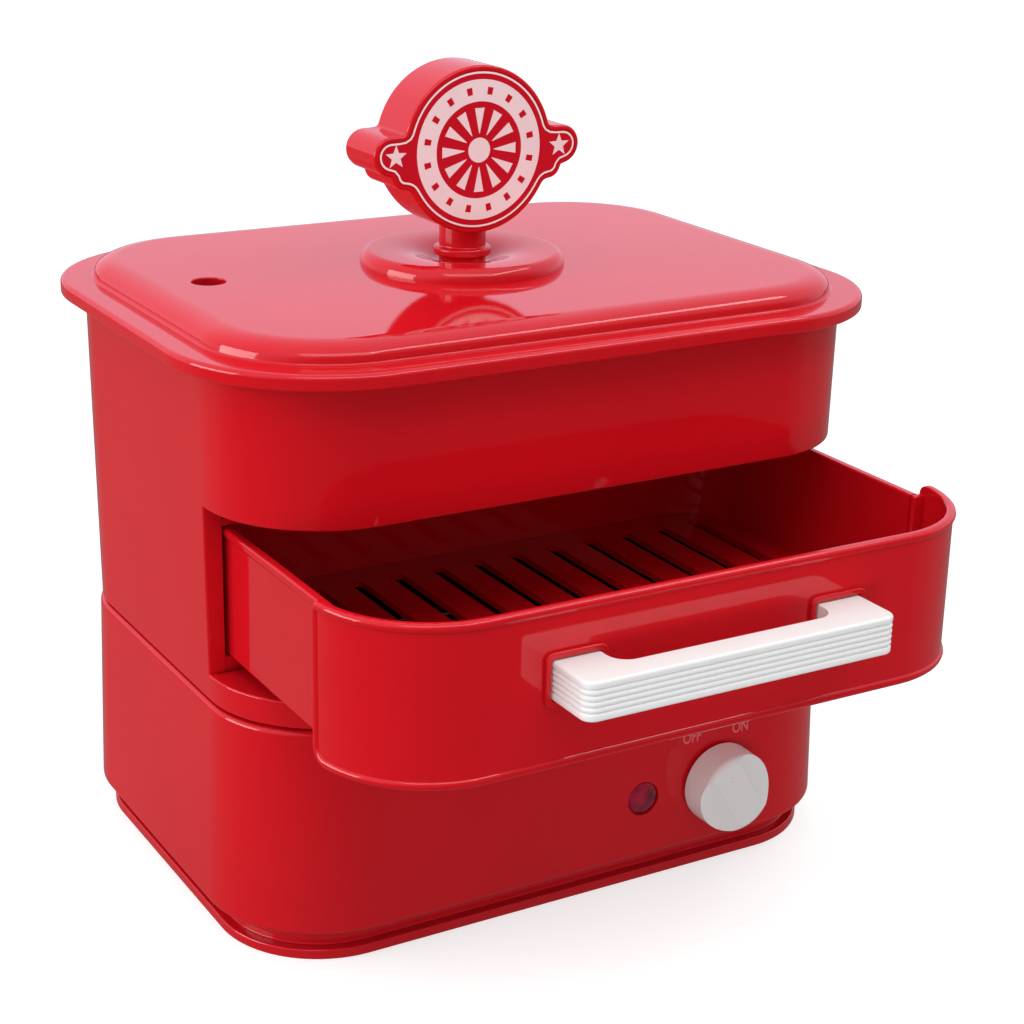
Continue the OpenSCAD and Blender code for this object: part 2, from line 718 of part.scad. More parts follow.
// Plan of the drawer's box behind the panel
module box_plan(inset) {
    w = 2*box_half_w - 2*inset;
    r = box_back_r - inset;
    translate([-w/2, panel_end_y - 12]) square([w, box_l + 12 - inset - r]);
    translate([-w/2 + r, panel_end_y - 12]) square([w - 2*r, box_l + 12 - inset]);
    for (sx = [-1, 1]) translate([sx*(w/2 - r), box_back_y - inset - r]) circle(r);
}

// What the rounded corners at the panel's right end take away
module panel_end_corners() {
    for (c = [[panel_z, 1, panel_end_low_r], [panel_top_z, -1, panel_end_top_r]])
        translate([panel_w/2 - drawer_wall, panel_end_y, c[0]]) rotate([90, 0, 90]) linear_extrude(20)
            polygon(concat([[1, -c[1]], [1, c[1]*c[2]]],
                [for (a = [0:15:90]) [-c[2]*(1 - cos(a)), c[1]*c[2]*(1 - sin(a))]],
                [[-c[2], -c[1]]]));
}

module drawer_body() {
    difference() {
        union() {
            translate([0, 0, panel_z]) linear_extrude(panel_h) panel_plan(0, panel_end_y);
            translate([0, 0, panel_top_z - bead_h]) linear_extrude(bead_h) panel_plan(-bead, panel_end_y);
            translate([0, 0, panel_z]) linear_extrude(bead_h) panel_plan(-bead, panel_end_y);
            for (sx = [-1, 1]) intersection() {
                translate([0, 0, panel_z]) linear_extrude(panel_h) panel_plan(-bead, panel_end_y);
                translate([sx*(panel_w/2) - 20, panel_end_y - 2.6, panel_z]) cube([40, 3, panel_h]);
            }
            translate([0, 0, box_bottom_z]) linear_extrude(box_top_z - box_bottom_z) box_plan(0);
            translate([0, 0, box_top_z - bead_h]) linear_extrude(bead_h) difference() {
                box_plan(-bead);
                translate([-panel_w, -panel_d]) square([2*panel_w, panel_d + panel_end_y]);
            }
        }
        translate([0, 0, box_bottom_z + floor_t]) linear_extrude(panel_h) {
            panel_plan(drawer_wall, panel_end_y - drawer_wall);
            box_plan(drawer_wall);
        }
        translate([0, 0, panel_z - 1]) linear_extrude(box_lift + 1) panel_plan(drawer_wall, panel_end_y + 1);
        translate([0, 0, box_top_z]) linear_extrude(panel_h) panel_plan(drawer_wall, panel_end_y + 1);
        for (side = [0, 1]) mirror([side, 0, 0]) panel_end_corners();
        pitch = 2*(box_half_w - slot_edge)/(slot_count - 1);
        for (i = [0:slot_count - 1])
            translate([-box_half_w + slot_edge + i*pitch - slot_w/2, box_back_y - slot_back - slot_l,
                box_bottom_z - 1]) cube([slot_w, slot_l, floor_t + 2]);
        for (sx = [-1, 1]) along_y(screw_r + 0.15, -panel_d, 0, sx*handle_screw_x, handle_z);
    }
}

module drawer() {
    color(RED) translate([0, -drawer_out, 0]) {
        drawer_body();
        for (sx = [-1, 1]) translate([sx*handle_screw_x, -panel_d/2, handle_z]) handle_seat();
    }
}

// Raised square frame that locates one foot of the handle
module handle_seat() {
    w = handle_foot_w + 2*clearance;
    h = handle_h + 2*clearance;
    translate([0, 0.5, 0]) rotate([90, 0, 0]) linear_extrude(frame_up + 0.5) difference() {
        rounded_plan(w + 2*frame_border, h + 2*frame_border, 2.2);
        square([w, h], center = true);
    }
}

// Plan of the handle seen from above, its feet on y = 0, drawn in by inset
module handle_plan(inset) {
    r = handle_corner_r;
    w = handle_w/2 - inset;
    out = handle_out - inset;
    translate([-w, -out + r]) square([2*w, out - r]);
    translate([-w + r, -out]) square([2*(w - r), out]);
    for (sx = [-1, 1]) translate([sx*(w - r), -out + r]) circle(r);
}

module drawer_handle() {
    gap_w = handle_w - 2*handle_foot_w;
    gap_d = handle_out - bar_t;
    inner_r = 6;
    pitch = handle_h/(groove_count + 1);
    color(WHITE) translate([0, panel_front_y, handle_z - handle_h/2]) difference() {
        linear_extrude(handle_h) difference() {
            handle_plan(0);
            translate([-gap_w/2, -gap_d + inner_r]) square([gap_w, gap_d]);
            translate([-gap_w/2 + inner_r, -gap_d]) square([gap_w - 2*inner_r, gap_d]);
            for (sx = [-1, 1]) translate([sx*(gap_w/2 - inner_r), -gap_d + inner_r]) circle(inner_r);
        }
        for (i = [1:groove_count]) translate([0, 0, i*pitch - 0.45]) linear_extrude(0.9) difference() {
            translate([-handle_w, -2*handle_out]) square([2*handle_w, 2*handle_out - 6]);
            handle_plan(groove_d);
        }
        for (sx = [-1, 1]) translate([sx*handle_screw_x, -12, handle_h/2]) rotate([-90, 0, 0])
            cylinder(r = screw_r + 0.05, h = 13);
    }
}

module handle_screws() {
    color(STEEL) for (sx = [-1, 1])
        translate([sx*handle_screw_x, panel_front_y + drawer_wall, handle_z]) rotate([90, 0, 0])
            pan_head_screw(screw_head_r, screw_head_h, screw_r, drawer_wall + 10);
}

module bun_tray() {
    color([0.62, 0.07, 0.1]) difference() {
        union() {
            rounded_block(tray_rim_w, tray_rim_d, tray_rim_r, ledge_top_z, ledge_top_z + tray_t);
            rounded_block(tray_w, tray_d, tray_r, tray_floor_z, ledge_top_z + 1);
        }
        rounded_block(tray_w - 2*tray_t, tray_d - 2*tray_t, tray_r - tray_t, tray_floor_z + tray_t,
            ledge_top_z + tray_t + 1);
        nx = floor((tray_w/2 - 16)/hole_pitch);
        ny = floor((tray_d/2 - 14)/hole_pitch);
        for (i = [-nx:nx], j = [-ny:ny]) translate([i*hole_pitch, j*hole_pitch, tray_floor_z - 1])
            cylinder(r = 3, h = tray_t + 2, $fn = 24);
    }
}

module lid() {
    color(RED) difference() {
        union() {
            drafted_block(flange_w, flange_d, flange_r, housing_top_z, flange_top_z, 0, 0.8, 1.6);
            drafted_block(plateau_w, plateau_d, plateau_r, flange_top_z - 0.5, lid_top_z, -0.3, 0,
                plateau_roll_h, plateau_roll, 15);
            translate([0, 0, lid_top_z]) rotate_extrude() polygon(concat(
                [[0, -1], [boss_r, -1]],
                [for (a = [0:15:90]) [boss_ridge_r + (boss_r - boss_ridge_r)*cos(a), boss_h*sin(a)]],
                [for (i = [7:-1:0]) let (r = seat_r + (boss_ridge_r - seat_r)*i/8) [r, dish_up(r)]],
                [[0, seat_up]]));
            rounded_ring(top_inner_w - 1.2, top_inner_d - 1.2, top_inner_r - 0.6, rib_t,
                housing_top_z - rib_h, housing_top_z + 1);
        }
        rounded_block(plateau_w - 16, plateau_d - 16, plateau_r - 8, housing_top_z - 1, lid_top_z - lid_t);
        rounded_ring(flange_w - 2*wall, flange_d - 2*wall, flange_r - wall, flange_out - 2*wall,
            housing_top_z - 1, flange_top_z - lid_t);
        translate([0, 0, lid_top_z - lid_t]) rotate_extrude() polygon(concat(
            [[seat_r + 3, -1], [boss_r - 5, -1]],
            [for (i = [5:-1:0]) let (r = seat_r + 3 + (boss_r - seat_r - 8)*i/5) [r, dish_up(r)]]));
        translate([0, 0, lid_top_z - 9]) cylinder(r = pin_r + 0.1, h = 20);
        translate([-vent_x, vent_back, lid_top_z - 9]) cylinder(r = vent_d/2, h = 20);
    }
}

// Outline of the sign: a disc with an arm to each side, a shoulder below each arm and soft inner corners
module sign_outline(inset) {
    module bar(half_w, up, r) {
        translate([-half_w + r, up - r + inset]) square([2*(half_w - r), 2*(r - inset)]);
        for (sx = [-1, 1]) translate([sx*(half_w - r), up]) circle(r - inset);
    }
    circle(sign_r - inset);
    bar(sign_half_w, arm_up, arm_r);
    bar(shoulder_half_w, shoulder_up, shoulder_r);
    for (side = [0, 1]) mirror([side, 0]) {
        sign_fillet(arm_up + arm_r, inset);
        mirror([0, 1]) sign_fillet(shoulder_r - shoulder_up, inset);
    }
}

// Inner corner between the disc's right side and a straight edge at height h
module sign_fillet(h, inset) {
    reach = sign_r + sign_fillet_r;
    up = h + sign_fillet_r;
    x = sqrt(reach*reach - up*up);
    difference() {
        polygon([[x*0.8, up*0.8], [x*0.8, h - inset - 1], [x, h - inset - 1], [x, up]]);
        translate([x, up]) circle(sign_fillet_r + inset);
    }
}

module sign_grip() {
    color(RED) difference() {
        union() {
            translate([0, sign_t/2, sign_z]) rotate([90, 0, 0]) linear_extrude(sign_t) sign_outline(0);
            translate([0, 0, lid_top_z + seat_up]) cylinder(r = stem_r, h = sign_lift + 4);
            translate([0, 0, lid_top_z + collar_up]) cylinder(r = collar_r, h = collar_h);
            translate([0, 0, pin_low_z + 0.2]) cylinder(r = pin_r, h = lid_t + 1);
        }
        translate([0, -sign_t/2 + face_t, sign_z]) rotate([90, 0, 0]) linear_extrude(face_t + 1)
            sign_outline(face_border);
        translate([0, 0, pin_low_z - 1]) cylinder(r = screw_r + 0.05, h = 15);
    }
}

module sign_face() {
    color(PINK) translate([0, -sign_t/2 + face_t, sign_z]) rotate([90, 0, 0]) linear_extrude(face_t - 0.2)
        sign_outline(face_border + 0.15);
}

module grip_washer() {
    color(STEEL) translate([0, 0, pin_low_z - 1]) difference() {
        cylinder(r = seat_r - 0.5, h = 1);
        translate([0, 0, -1]) cylinder(r = screw_r + 0.3, h = 3);
    }
}

module grip_screw() {
    color(STEEL) translate([0, 0, pin_low_z - 1]) pan_head_screw(screw_head_r, screw_head_h, screw_r, 14);
}

base_shell();
bottom_cover();
rubber_feet();
cover_screws();
water_basin();
basin_screws();
heating_plate();
plate_seal();
heating_tube();
heater_bracket();
bracket_screws();
thermostat();
thermal_fuse();
rotary_switch();
switch_nut();
switch_shaft();
knob();
lamp_lens();
lamp_body();
lamp_clip();
terminal_block();
cord_bush();
housing();
drawer();
drawer_handle();
handle_screws();
bun_tray();
lid();
sign_grip();
sign_face();
grip_screw();
grip_washer();
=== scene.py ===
"""Looks and studio picture of a red countertop steamer.

Pieces are shaped in millimetres in the CAD model's frame, and each is scaled to metres when it is finished.
"""

import logging
import math
from collections.abc import Callable, Sequence
from dataclasses import dataclass
from enum import Enum

import bmesh
import bpy
from mathutils import Matrix, Vector


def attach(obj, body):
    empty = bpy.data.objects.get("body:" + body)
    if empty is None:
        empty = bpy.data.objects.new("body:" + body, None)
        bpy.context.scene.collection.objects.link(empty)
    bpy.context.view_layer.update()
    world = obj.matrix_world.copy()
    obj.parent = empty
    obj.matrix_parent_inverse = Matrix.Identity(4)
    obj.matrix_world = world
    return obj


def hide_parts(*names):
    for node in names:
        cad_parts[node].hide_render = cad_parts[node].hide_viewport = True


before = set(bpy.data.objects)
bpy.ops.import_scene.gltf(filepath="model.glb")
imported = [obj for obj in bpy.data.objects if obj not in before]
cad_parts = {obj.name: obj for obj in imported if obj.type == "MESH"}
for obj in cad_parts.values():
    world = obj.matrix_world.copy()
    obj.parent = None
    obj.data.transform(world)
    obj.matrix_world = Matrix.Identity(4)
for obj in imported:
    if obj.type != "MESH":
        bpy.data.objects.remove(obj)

LOG = logging.getLogger("scene")

# Lengths are in millimetres. METRES brings them to the frame's unit.
METRES = 0.001
NEAR = 0.01
TINY = 0.000001
WELD_GAP = 0.004
SHARP_ANGLE = 32.0

# A Flat is a place in a plane or a pair of sizes, and a Corner is such a place with its radius.
Point = tuple[float, float, float]
Corner = tuple[float, float, float]
Flat = tuple[float, float]
Color = tuple[float, float, float, float]
EdgeTest = Callable[[Vector, Vector], bool]
FaceTest = Callable[[Vector], bool]


# Shaping tools


class Axis(Enum):
    """Which way a turned piece points."""

    UP = "up"
    FRONT = "front"


class Editing:
    """Keeps one object in edit mode for as long as a with block lasts."""

    def __init__(self, obj: bpy.types.Object, mode: str = "VERT") -> None:
        """Notes what to edit.

        Args:
            obj: The mesh object.
            mode: VERT, EDGE or FACE selection.
        """
        self.obj = obj
        self.mode = mode

    def __enter__(self) -> None:
        """Enters edit mode with everything selected."""
        make_active(self.obj)
        bpy.ops.object.mode_set(mode="EDIT")
        bpy.ops.mesh.select_mode(type=self.mode)
        bpy.ops.mesh.select_all(action="SELECT")

    def __exit__(self, *_: object) -> None:
        """Leaves edit mode."""
        bpy.ops.object.mode_set(mode="OBJECT")


def is_upright(first: Vector, second: Vector) -> bool:
    """Tells whether an edge stands upright."""
    return abs(first.x - second.x) < NEAR and abs(first.y - second.y) < NEAR


def make_active(obj: bpy.types.Object) -> None:
    """Selects one object alone.

    Args:
        obj: The object.
    """
    bpy.ops.object.select_all(action="DESELECT")
    bpy.context.view_layer.objects.active = obj
    obj.select_set(True)


def fillet(corners: Sequence[Corner], closed: bool = True, step: float = 12.0) -> list[Flat]:
    """Rounds the corners of a flat line.

    Args:
        corners: Places in the plane with the radius that each corner gets.
        closed: Whether the last corner joins the first.
        step: Degrees between the points of an arc.

    Returns:
        The points of the rounded line.
    """
    points: list[Flat] = []
    count = len(corners)
    for i, (x, y, radius) in enumerate(corners):
        here = Vector((x, y))
        if radius <= 0 or (not closed and i in (0, count - 1)):
            points.append((x, y))
            continue
        to_last = (Vector(corners[i - 1][:2]) - here).normalized()
        to_next = (Vector(corners[(i + 1) % count][:2]) - here).normalized()
        half = math.acos(max(-1.0, min(1.0, to_last.dot(to_next)))) / 2
        centre = here + (to_last + to_next).normalized() * (radius / math.sin(half))
        start = here + to_last * (radius / math.tan(half)) - centre
        sweep = math.pi - 2 * half
        turn = 1 if start.x * (here - centre).y - start.y * (here - centre).x > 0 else -1
        parts = max(2, round(math.degrees(sweep) / step))
        for k in range(parts + 1):
            angle = turn * sweep * k / parts
            x_part = start.x * math.cos(angle) - start.y * math.sin(angle)
            y_part = start.x * math.sin(angle) + start.y * math.cos(angle)
            points.append((centre.x + x_part, centre.y + y_part))
    return points


@dataclass(frozen=True)
class Pull:
    """A straight run of a sweep."""

    by: Point

    def run(self) -> None:
        """Extrudes the selected line."""
        bpy.ops.mesh.extrude_edges_move(TRANSFORM_OT_translate={"value": self.by})


@dataclass(frozen=True)
class Turn:
    """A round corner of a sweep, anticlockwise from above where degrees are positive."""

    about: Flat
    degrees: float
    steps: int = 20

    def run(self) -> None:
        """Spins the selected line."""
        bpy.ops.mesh.spin(
            steps=self.steps,
            angle=-math.radians(self.degrees),
            center=(self.about[0], self.about[1], 0),
            axis=(0, 0, 1),
        )


class Workpiece:
    """A mesh that is shaped in millimetres with Blender's modelling tools."""

    def __init__(self, name: str) -> None:
        """Takes the object that a tool has just added.

        Args:
            name: The piece's name.
        """
        self.obj = bpy.context.object
        self.obj.name = name
        self.obj.data.name = name
        bpy.ops.object.transform_apply(location=True, rotation=True, scale=True)

    @classmethod
    def line(cls, name: str, points: Sequence[Point], closed: bool = True) -> "Workpiece":
        """Draws a line through points.

        Args:
            name: The piece's name.
            points: Places in space.
            closed: Whether the last point joins the first.

        Returns:
            The drawn piece, all of it selected.
        """
        bpy.ops.mesh.primitive_plane_add(size=1, location=points[0])
        piece = cls(name)
        with Editing(piece.obj):
            bpy.ops.mesh.merge(type="CENTER")
            for last, here in zip(points, points[1:]):
                step = Vector(here) - Vector(last)
                bpy.ops.mesh.extrude_vertices_move(TRANSFORM_OT_translate={"value": step})
            mesh = bmesh.from_edit_mesh(piece.obj.data)
            if closed:
                for vert in mesh.verts:
                    vert.select = len(vert.link_edges) == 1
                mesh.select_flush_mode()
                bmesh.update_edit_mesh(piece.obj.data)
                bpy.ops.mesh.edge_face_add()
            bpy.ops.mesh.select_all(action="SELECT")
        return piece

    @classmethod
    def block(cls, name: str, low: Point, high: Point) -> "Workpiece":
        """Adds a box.

        Args:
            name: The piece's name.
            low: The corner with the lowest numbers.
            high: The corner with the highest numbers.

        Returns:
            The box.
        """
        size = Vector(high) - Vector(low)
        bpy.ops.mesh.primitive_cube_add(size=1, location=(Vector(low) + Vector(high)) / 2, scale=size)
        return cls(name)

    @classmethod
    def rod(cls, name: str, radius: float, start: Point, end: Point, sides: int = 64) -> "Workpiece":
        """Adds a cylinder between two points.

        Args:
            name: The piece's name.
            radius: Its radius.
            start: The centre of one end.
            end: The centre of the other end.
            sides: Faces round it.

        Returns:
            The cylinder.
        """
        along = Vector(end) - Vector(start)
        bpy.ops.mesh.primitive_cylinder_add(
            vertices=sides,
            radius=radius,
            depth=along.length,
            location=(Vector(start) + Vector(end)) / 2,
            rotation=along.to_track_quat("Z", "Y").to_euler(),
        )
        return cls(name)

    @classmethod
    def lathe(
        cls, name: str, profile: Sequence[Flat], centre: Point, axis: Axis, steps: int = 96
    ) -> "Workpiece":
        """Turns a profile of radius and height round an axis.

        Args:
            name: The piece's name.
            profile: Pairs of radius and height.
            centre: Where the axis starts.
            axis: Which way heights go.
            steps: Faces round it.

        Returns:
            The turned piece.
        """
        x, y, z = centre
        if axis is Axis.UP:
            points = [(x + r, y, z + h) for r, h in profile]
            direction = (0, 0, 1)
        else:
            points = [(x + r, y - h, z) for r, h in profile]
            direction = (0, 1, 0)
        piece = cls.line(name, points, closed=False)
        with Editing(piece.obj):
            bpy.ops.mesh.spin(steps=steps, angle=math.tau, center=centre, axis=direction)
        return piece.weld()

    @classmethod
    def bar_along(
        cls, name: str, points: Sequence[Point], radius: float, closed: bool = False
    ) -> "Workpiece":
        """Lays a round bar along points.

        Args:
            name: The piece's name.
            points: Places on its centre line.
            radius: Its radius.
            closed: Whether it runs round into itself.

        Returns:
            The bar as a mesh.
        """
        curve = bpy.data.curves.new(name, "CURVE")
        curve.dimensions = "3D"
        curve.bevel_depth = radius
        curve.bevel_resolution = 4
        curve.use_fill_caps = True
        spline = curve.splines.new("POLY")
        spline.points.add(len(points) - 1)
        for place, point in zip(spline.points, points):
            place.co = (*point, 1)
        spline.use_cyclic_u = closed
        obj = bpy.data.objects.new(name, curve)
        bpy.context.scene.collection.objects.link(obj)
        make_active(obj)
        bpy.ops.object.convert(target="MESH")
        return cls(name).weld()

    def sweep(self, legs: Sequence[Pull | Turn]) -> "Workpiece":
        """Pulls the whole drawn line along a path.

        Args:
            legs: The path's runs and corners.

        Returns:
            The same piece.
        """
        with Editing(self.obj):
            for leg in legs:
                leg.run()
        return self.weld()

    def extrude(self, by: Point) -> "Workpiece":
        """Fills a drawn line and pulls the face out into a solid.

        Args:
            by: How far the face is pulled.

        Returns:
            The same piece.
        """
        with Editing(self.obj):
            bpy.ops.mesh.edge_face_add()
            bpy.ops.mesh.extrude_region_move(TRANSFORM_OT_translate={"value": by})
        return self.face_out()

    def weld(self) -> "Workpiece":
        """Merges points that lie on each other and turns the faces outwards.

        Returns:
            The same piece.
        """
        with Editing(self.obj):
            bpy.ops.mesh.remove_doubles(threshold=WELD_GAP)
        return self.face_out()

    def face_out(self) -> "Workpiece":
        """Turns all faces outwards.

        Returns:
            The same piece.
        """
        with Editing(self.obj, "FACE"):
            bpy.ops.mesh.normals_make_consistent(inside=False)
        return self

    def close(self) -> "Workpiece":
        """Fills every open rim with a face.

        Returns:
            The same piece.
        """
        with Editing(self.obj):
            bpy.ops.mesh.fill_holes(sides=0)
        return self.face_out()

    def choose_edges(self, test: EdgeTest) -> None:
        """Selects some of the edges, in edit mode.

        Args:
            test: Takes an edge's two ends.
        """
        mesh = bmesh.from_edit_mesh(self.obj.data)
        bpy.ops.mesh.select_all(action="DESELECT")
        for edge in mesh.edges:
            if test(edge.verts[0].co, edge.verts[1].co):
                edge.select = True
        mesh.select_flush_mode()
        bmesh.update_edit_mesh(self.obj.data)

    def fill(self, test: EdgeTest) -> "Workpiece":
        """Makes one face inside a ring of edges.

        Args:
            test: Takes an edge's two ends and is true on the ring.

        Returns:
            The same piece.
        """
        with Editing(self.obj, "EDGE"):
            self.choose_edges(test)
            bpy.ops.mesh.edge_face_add()
        return self

    def link(self, first: Point, second: Point) -> "Workpiece":
        """Joins two points with an edge.

        Args:
            first: A place whose nearest point is taken.
            second: The other such place.

        Returns:
            The same piece.
        """
        with Editing(self.obj):
            bpy.ops.mesh.select_all(action="DESELECT")
            mesh = bmesh.from_edit_mesh(self.obj.data)
            for place in (Vector(first), Vector(second)):
                min(mesh.verts, key=lambda vert: (vert.co - place).length).select = True
            mesh.select_flush_mode()
            bmesh.update_edit_mesh(self.obj.data)
            bpy.ops.mesh.edge_face_add()
        return self

    def slice(self, place: Point, normal: Point) -> "Workpiece":
        """Cuts new edges where a plane passes.

        Args:
            place: A place on the plane.
            normal: The plane's normal.

        Returns:
            The same piece.
        """
        with Editing(self.obj):
            bpy.ops.mesh.bisect(plane_co=place, plane_no=normal)
        return self

    def drop_faces(self, test: FaceTest) -> "Workpiece":
        """Deletes some of the faces.

        Args:
            test: Takes a face's middle.

        Returns:
            The same piece.
        """
        with Editing(self.obj, "FACE"):
            bpy.ops.mesh.select_all(action="DESELECT")
            mesh = bmesh.from_edit_mesh(self.obj.data)
            for face in mesh.faces:
                face.select = test(face.calc_center_median())
            bmesh.update_edit_mesh(self.obj.data)
            bpy.ops.mesh.delete(type="FACE")
        return self

    def bridge(self) -> "Workpiece":
        """Joins the two open rims with a band of faces.

        Returns:
            The same piece.
        """
        with Editing(self.obj, "EDGE"):
            mesh = bmesh.from_edit_mesh(self.obj.data)
            bpy.ops.mesh.select_all(action="DESELECT")
            for edge in mesh.edges:
                edge.select = edge.is_boundary
            mesh.select_flush_mode()
            bmesh.update_edit_mesh(self.obj.data)
            bpy.ops.mesh.bridge_edge_loops()
        return self.face_out()

    def bevel(self, width: float, segments: int, test: EdgeTest) -> "Workpiece":
        """Rounds the edges that pass a test.

        Args:
            width: How far the rounding reaches on each side.
            segments: Faces across it.
            test: Takes an edge's two ends.

        Returns:
            The same piece.
        """
        with Editing(self.obj, "EDGE"):
            self.choose_edges(test)
            bpy.ops.mesh.bevel(
                offset=width, offset_type="OFFSET", segments=segments, profile=0.5, affect="EDGES"
            )
        return self

    def soften(self, width: float, segments: int = 3, angle: float = 35.0) -> "Workpiece":
        """Rounds all sharp edges.

        Args:
            width: How far the rounding reaches on each side.
            segments: Faces across it.
            angle: Degrees past which an edge is sharp.

        Returns:
            The same piece.
        """
        change = self.obj.modifiers.new("soften", "BEVEL")
        change.width = width
        change.segments = segments
        change.limit_method = "ANGLE"
        change.angle_limit = math.radians(angle)
        change.use_clamp_overlap = True
        return self.apply(change)

    def apply(self, change: bpy.types.Modifier) -> "Workpiece":
        """Applies one modifier.

        Args:
            change: The modifier.

        Returns:
            The same piece.
        """
        make_active(self.obj)
        bpy.ops.object.modifier_apply(modifier=change.name)
        return self

    def combine(self, operation: str, others: Sequence["Workpiece"]) -> "Workpiece":
        """Cuts or fuses other pieces, which are used up.

        Args:
            operation: DIFFERENCE or UNION.
            others: The other pieces.

        Returns:
            The same piece.
        """
        for other in others:
            change = self.obj.modifiers.new("combine", "BOOLEAN")
            change.operation = operation
            change.solver = "EXACT"
            change.object = other.obj
            self.apply(change)
            bpy.data.objects.remove(other.obj)
        return self

    def cut(self, *tools: "Workpiece") -> "Workpiece":
        """Takes other pieces' shapes out of this one."""
        return self.combine("DIFFERENCE", tools)

    def fuse(self, *others: "Workpiece") -> "Workpiece":
        """Makes one solid of this piece and others."""
        return self.combine("UNION", others)

    def join(self, *others: "Workpiece") -> "Workpiece":
        """Takes other pieces into this object as they are.

        Args:
            others: The other pieces.

        Returns:
            The same piece.
        """
        make_active(self.obj)
        for other in others:
            other.obj.select_set(True)
        bpy.ops.object.join()
        return self

    def move(self, placing: Matrix) -> "Workpiece":
        """Shifts or turns the piece's mesh.

        Args:
            placing: The shift or turn.

        Returns:
            The same piece.
        """
        make_active(self.obj)
        self.obj.matrix_world = placing
        bpy.ops.object.transform_apply(location=True, rotation=True, scale=True)
        return self

    def copy(self, name: str, placing: Matrix) -> "Workpiece":
        """Copies the piece with a mesh of its own.

        Args:
            name: The copy's name.
            placing: The copy's shift or turn.

        Returns:
            The copy.
        """
        make_active(self.obj)
        bpy.ops.object.duplicate(linked=False)
        return Workpiece(name).move(placing)

    def row(self, count: int, pitch: float) -> list["Workpiece"]:
        """Returns that many of the piece in a row to the right, the piece itself last."""
        shifts = [Matrix.Translation((pitch * i, 0, 0)) for i in range(1, count)]
        return [*(self.copy(self.obj.name, shift) for shift in shifts), self]

    def finish(self, body: str, finish: "Finish", slot: str, *nodes: str) -> None:
        """Scales the piece to metres, smooths it, paints it and hands it to its CAD body.

        Args:
            body: The CAD body that it rides on.
            finish: What it is painted with.
            slot: The record's material slot; not used.
            nodes: The CAD nodes that it stands for.
        """
        make_active(self.obj)
        self.obj.scale = (METRES,) * 3
        bpy.ops.object.transform_apply(location=True, rotation=True, scale=True)
        bpy.ops.object.shade_smooth_by_angle(angle=math.radians(SHARP_ANGLE))
        change = self.obj.modifiers.new("normals", "WEIGHTED_NORMAL")
        change.keep_sharp = True
        self.apply(change)
        self.obj.data.materials.clear()
        self.obj.data.materials.append(finish.material())
        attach(self.obj, body)
        if nodes:
            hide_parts(*nodes)
        LOG.info("%s: %d faces", self.obj.name, len(self.obj.data.polygons))


@dataclass(frozen=True)
class RoundedPlan:
    """A rectangle with round corners seen from above, centred on the origin."""

    half_w: float
    half_d: float
    corner_r: float
    steps: int = 24

    def inner(self) -> Flat:
        """Returns where the centre of the right rear corner is."""
        return self.half_w - self.corner_r, self.half_d - self.corner_r

    def ring(self, name: str, profile: Sequence[Flat], closed: bool = True) -> Workpiece:
        """Sweeps a profile all the way round.

        Args:
            name: The piece's name.
            profile: Pairs of distance out from the plan's edge and height.
            closed: Whether the profile is a closed line.

        Returns:
            The ring.
        """
        x, y = self.inner()
        piece = Workpiece.line(name, [(self.half_w + out, -y, z) for out, z in profile], closed)
        runs = ((0, 2 * y, 0), (-2 * x, 0, 0), (0, -2 * y, 0), (2 * x, 0, 0))
        legs: list[Pull | Turn] = []
        for run, corner in zip(runs, ((x, y), (-x, y), (-x, -y), (x, -y))):
            legs += [Pull(run), Turn(corner, 90, self.steps)]
        return piece.sweep(legs)

    def front(self, name: str, profile: Sequence[Flat]) -> Workpiece:
        """Sweeps a closed profile round the two front corners only, with closed ends.

        Args:
            name: The piece's name.
            profile: Pairs of distance out from the plan's edge and height.

        Returns:
            The swept piece.
        """
        x, y = self.inner()
        piece = Workpiece.line(name, [(self.half_w + out, -y, z) for out, z in profile])
        piece.sweep([Turn((x, -y), -90, self.steps), Pull((-2 * x, 0, 0)), Turn((-x, -y), -90, self.steps)])
        return piece.close()


# Finishes


@dataclass(frozen=True)
class Tone:
    """A colour as it is seen on a screen, each part 0 to 255."""

    red: float
    green: float
    blue: float

    def linear(self, gain: float = 1.0) -> Color:
        """Works out the colour as light.

        Args:
            gain: What the light is multiplied by.

        Returns:
            Red, green, blue and a full alpha.
        """
        parts = []
        for part in (self.red, self.green, self.blue):
            share = part / 255
            parts.append(gain * (share / 12.92 if share <= 0.04045 else ((share + 0.055) / 1.055) ** 2.4))
        return parts[0], parts[1], parts[2], 1.0


def grey(level: float) -> Color:
    """Returns a grey of that strength."""
    return level, level, level, 1.0


BLACK = grey(0.0)
WHITE = grey(1.0)


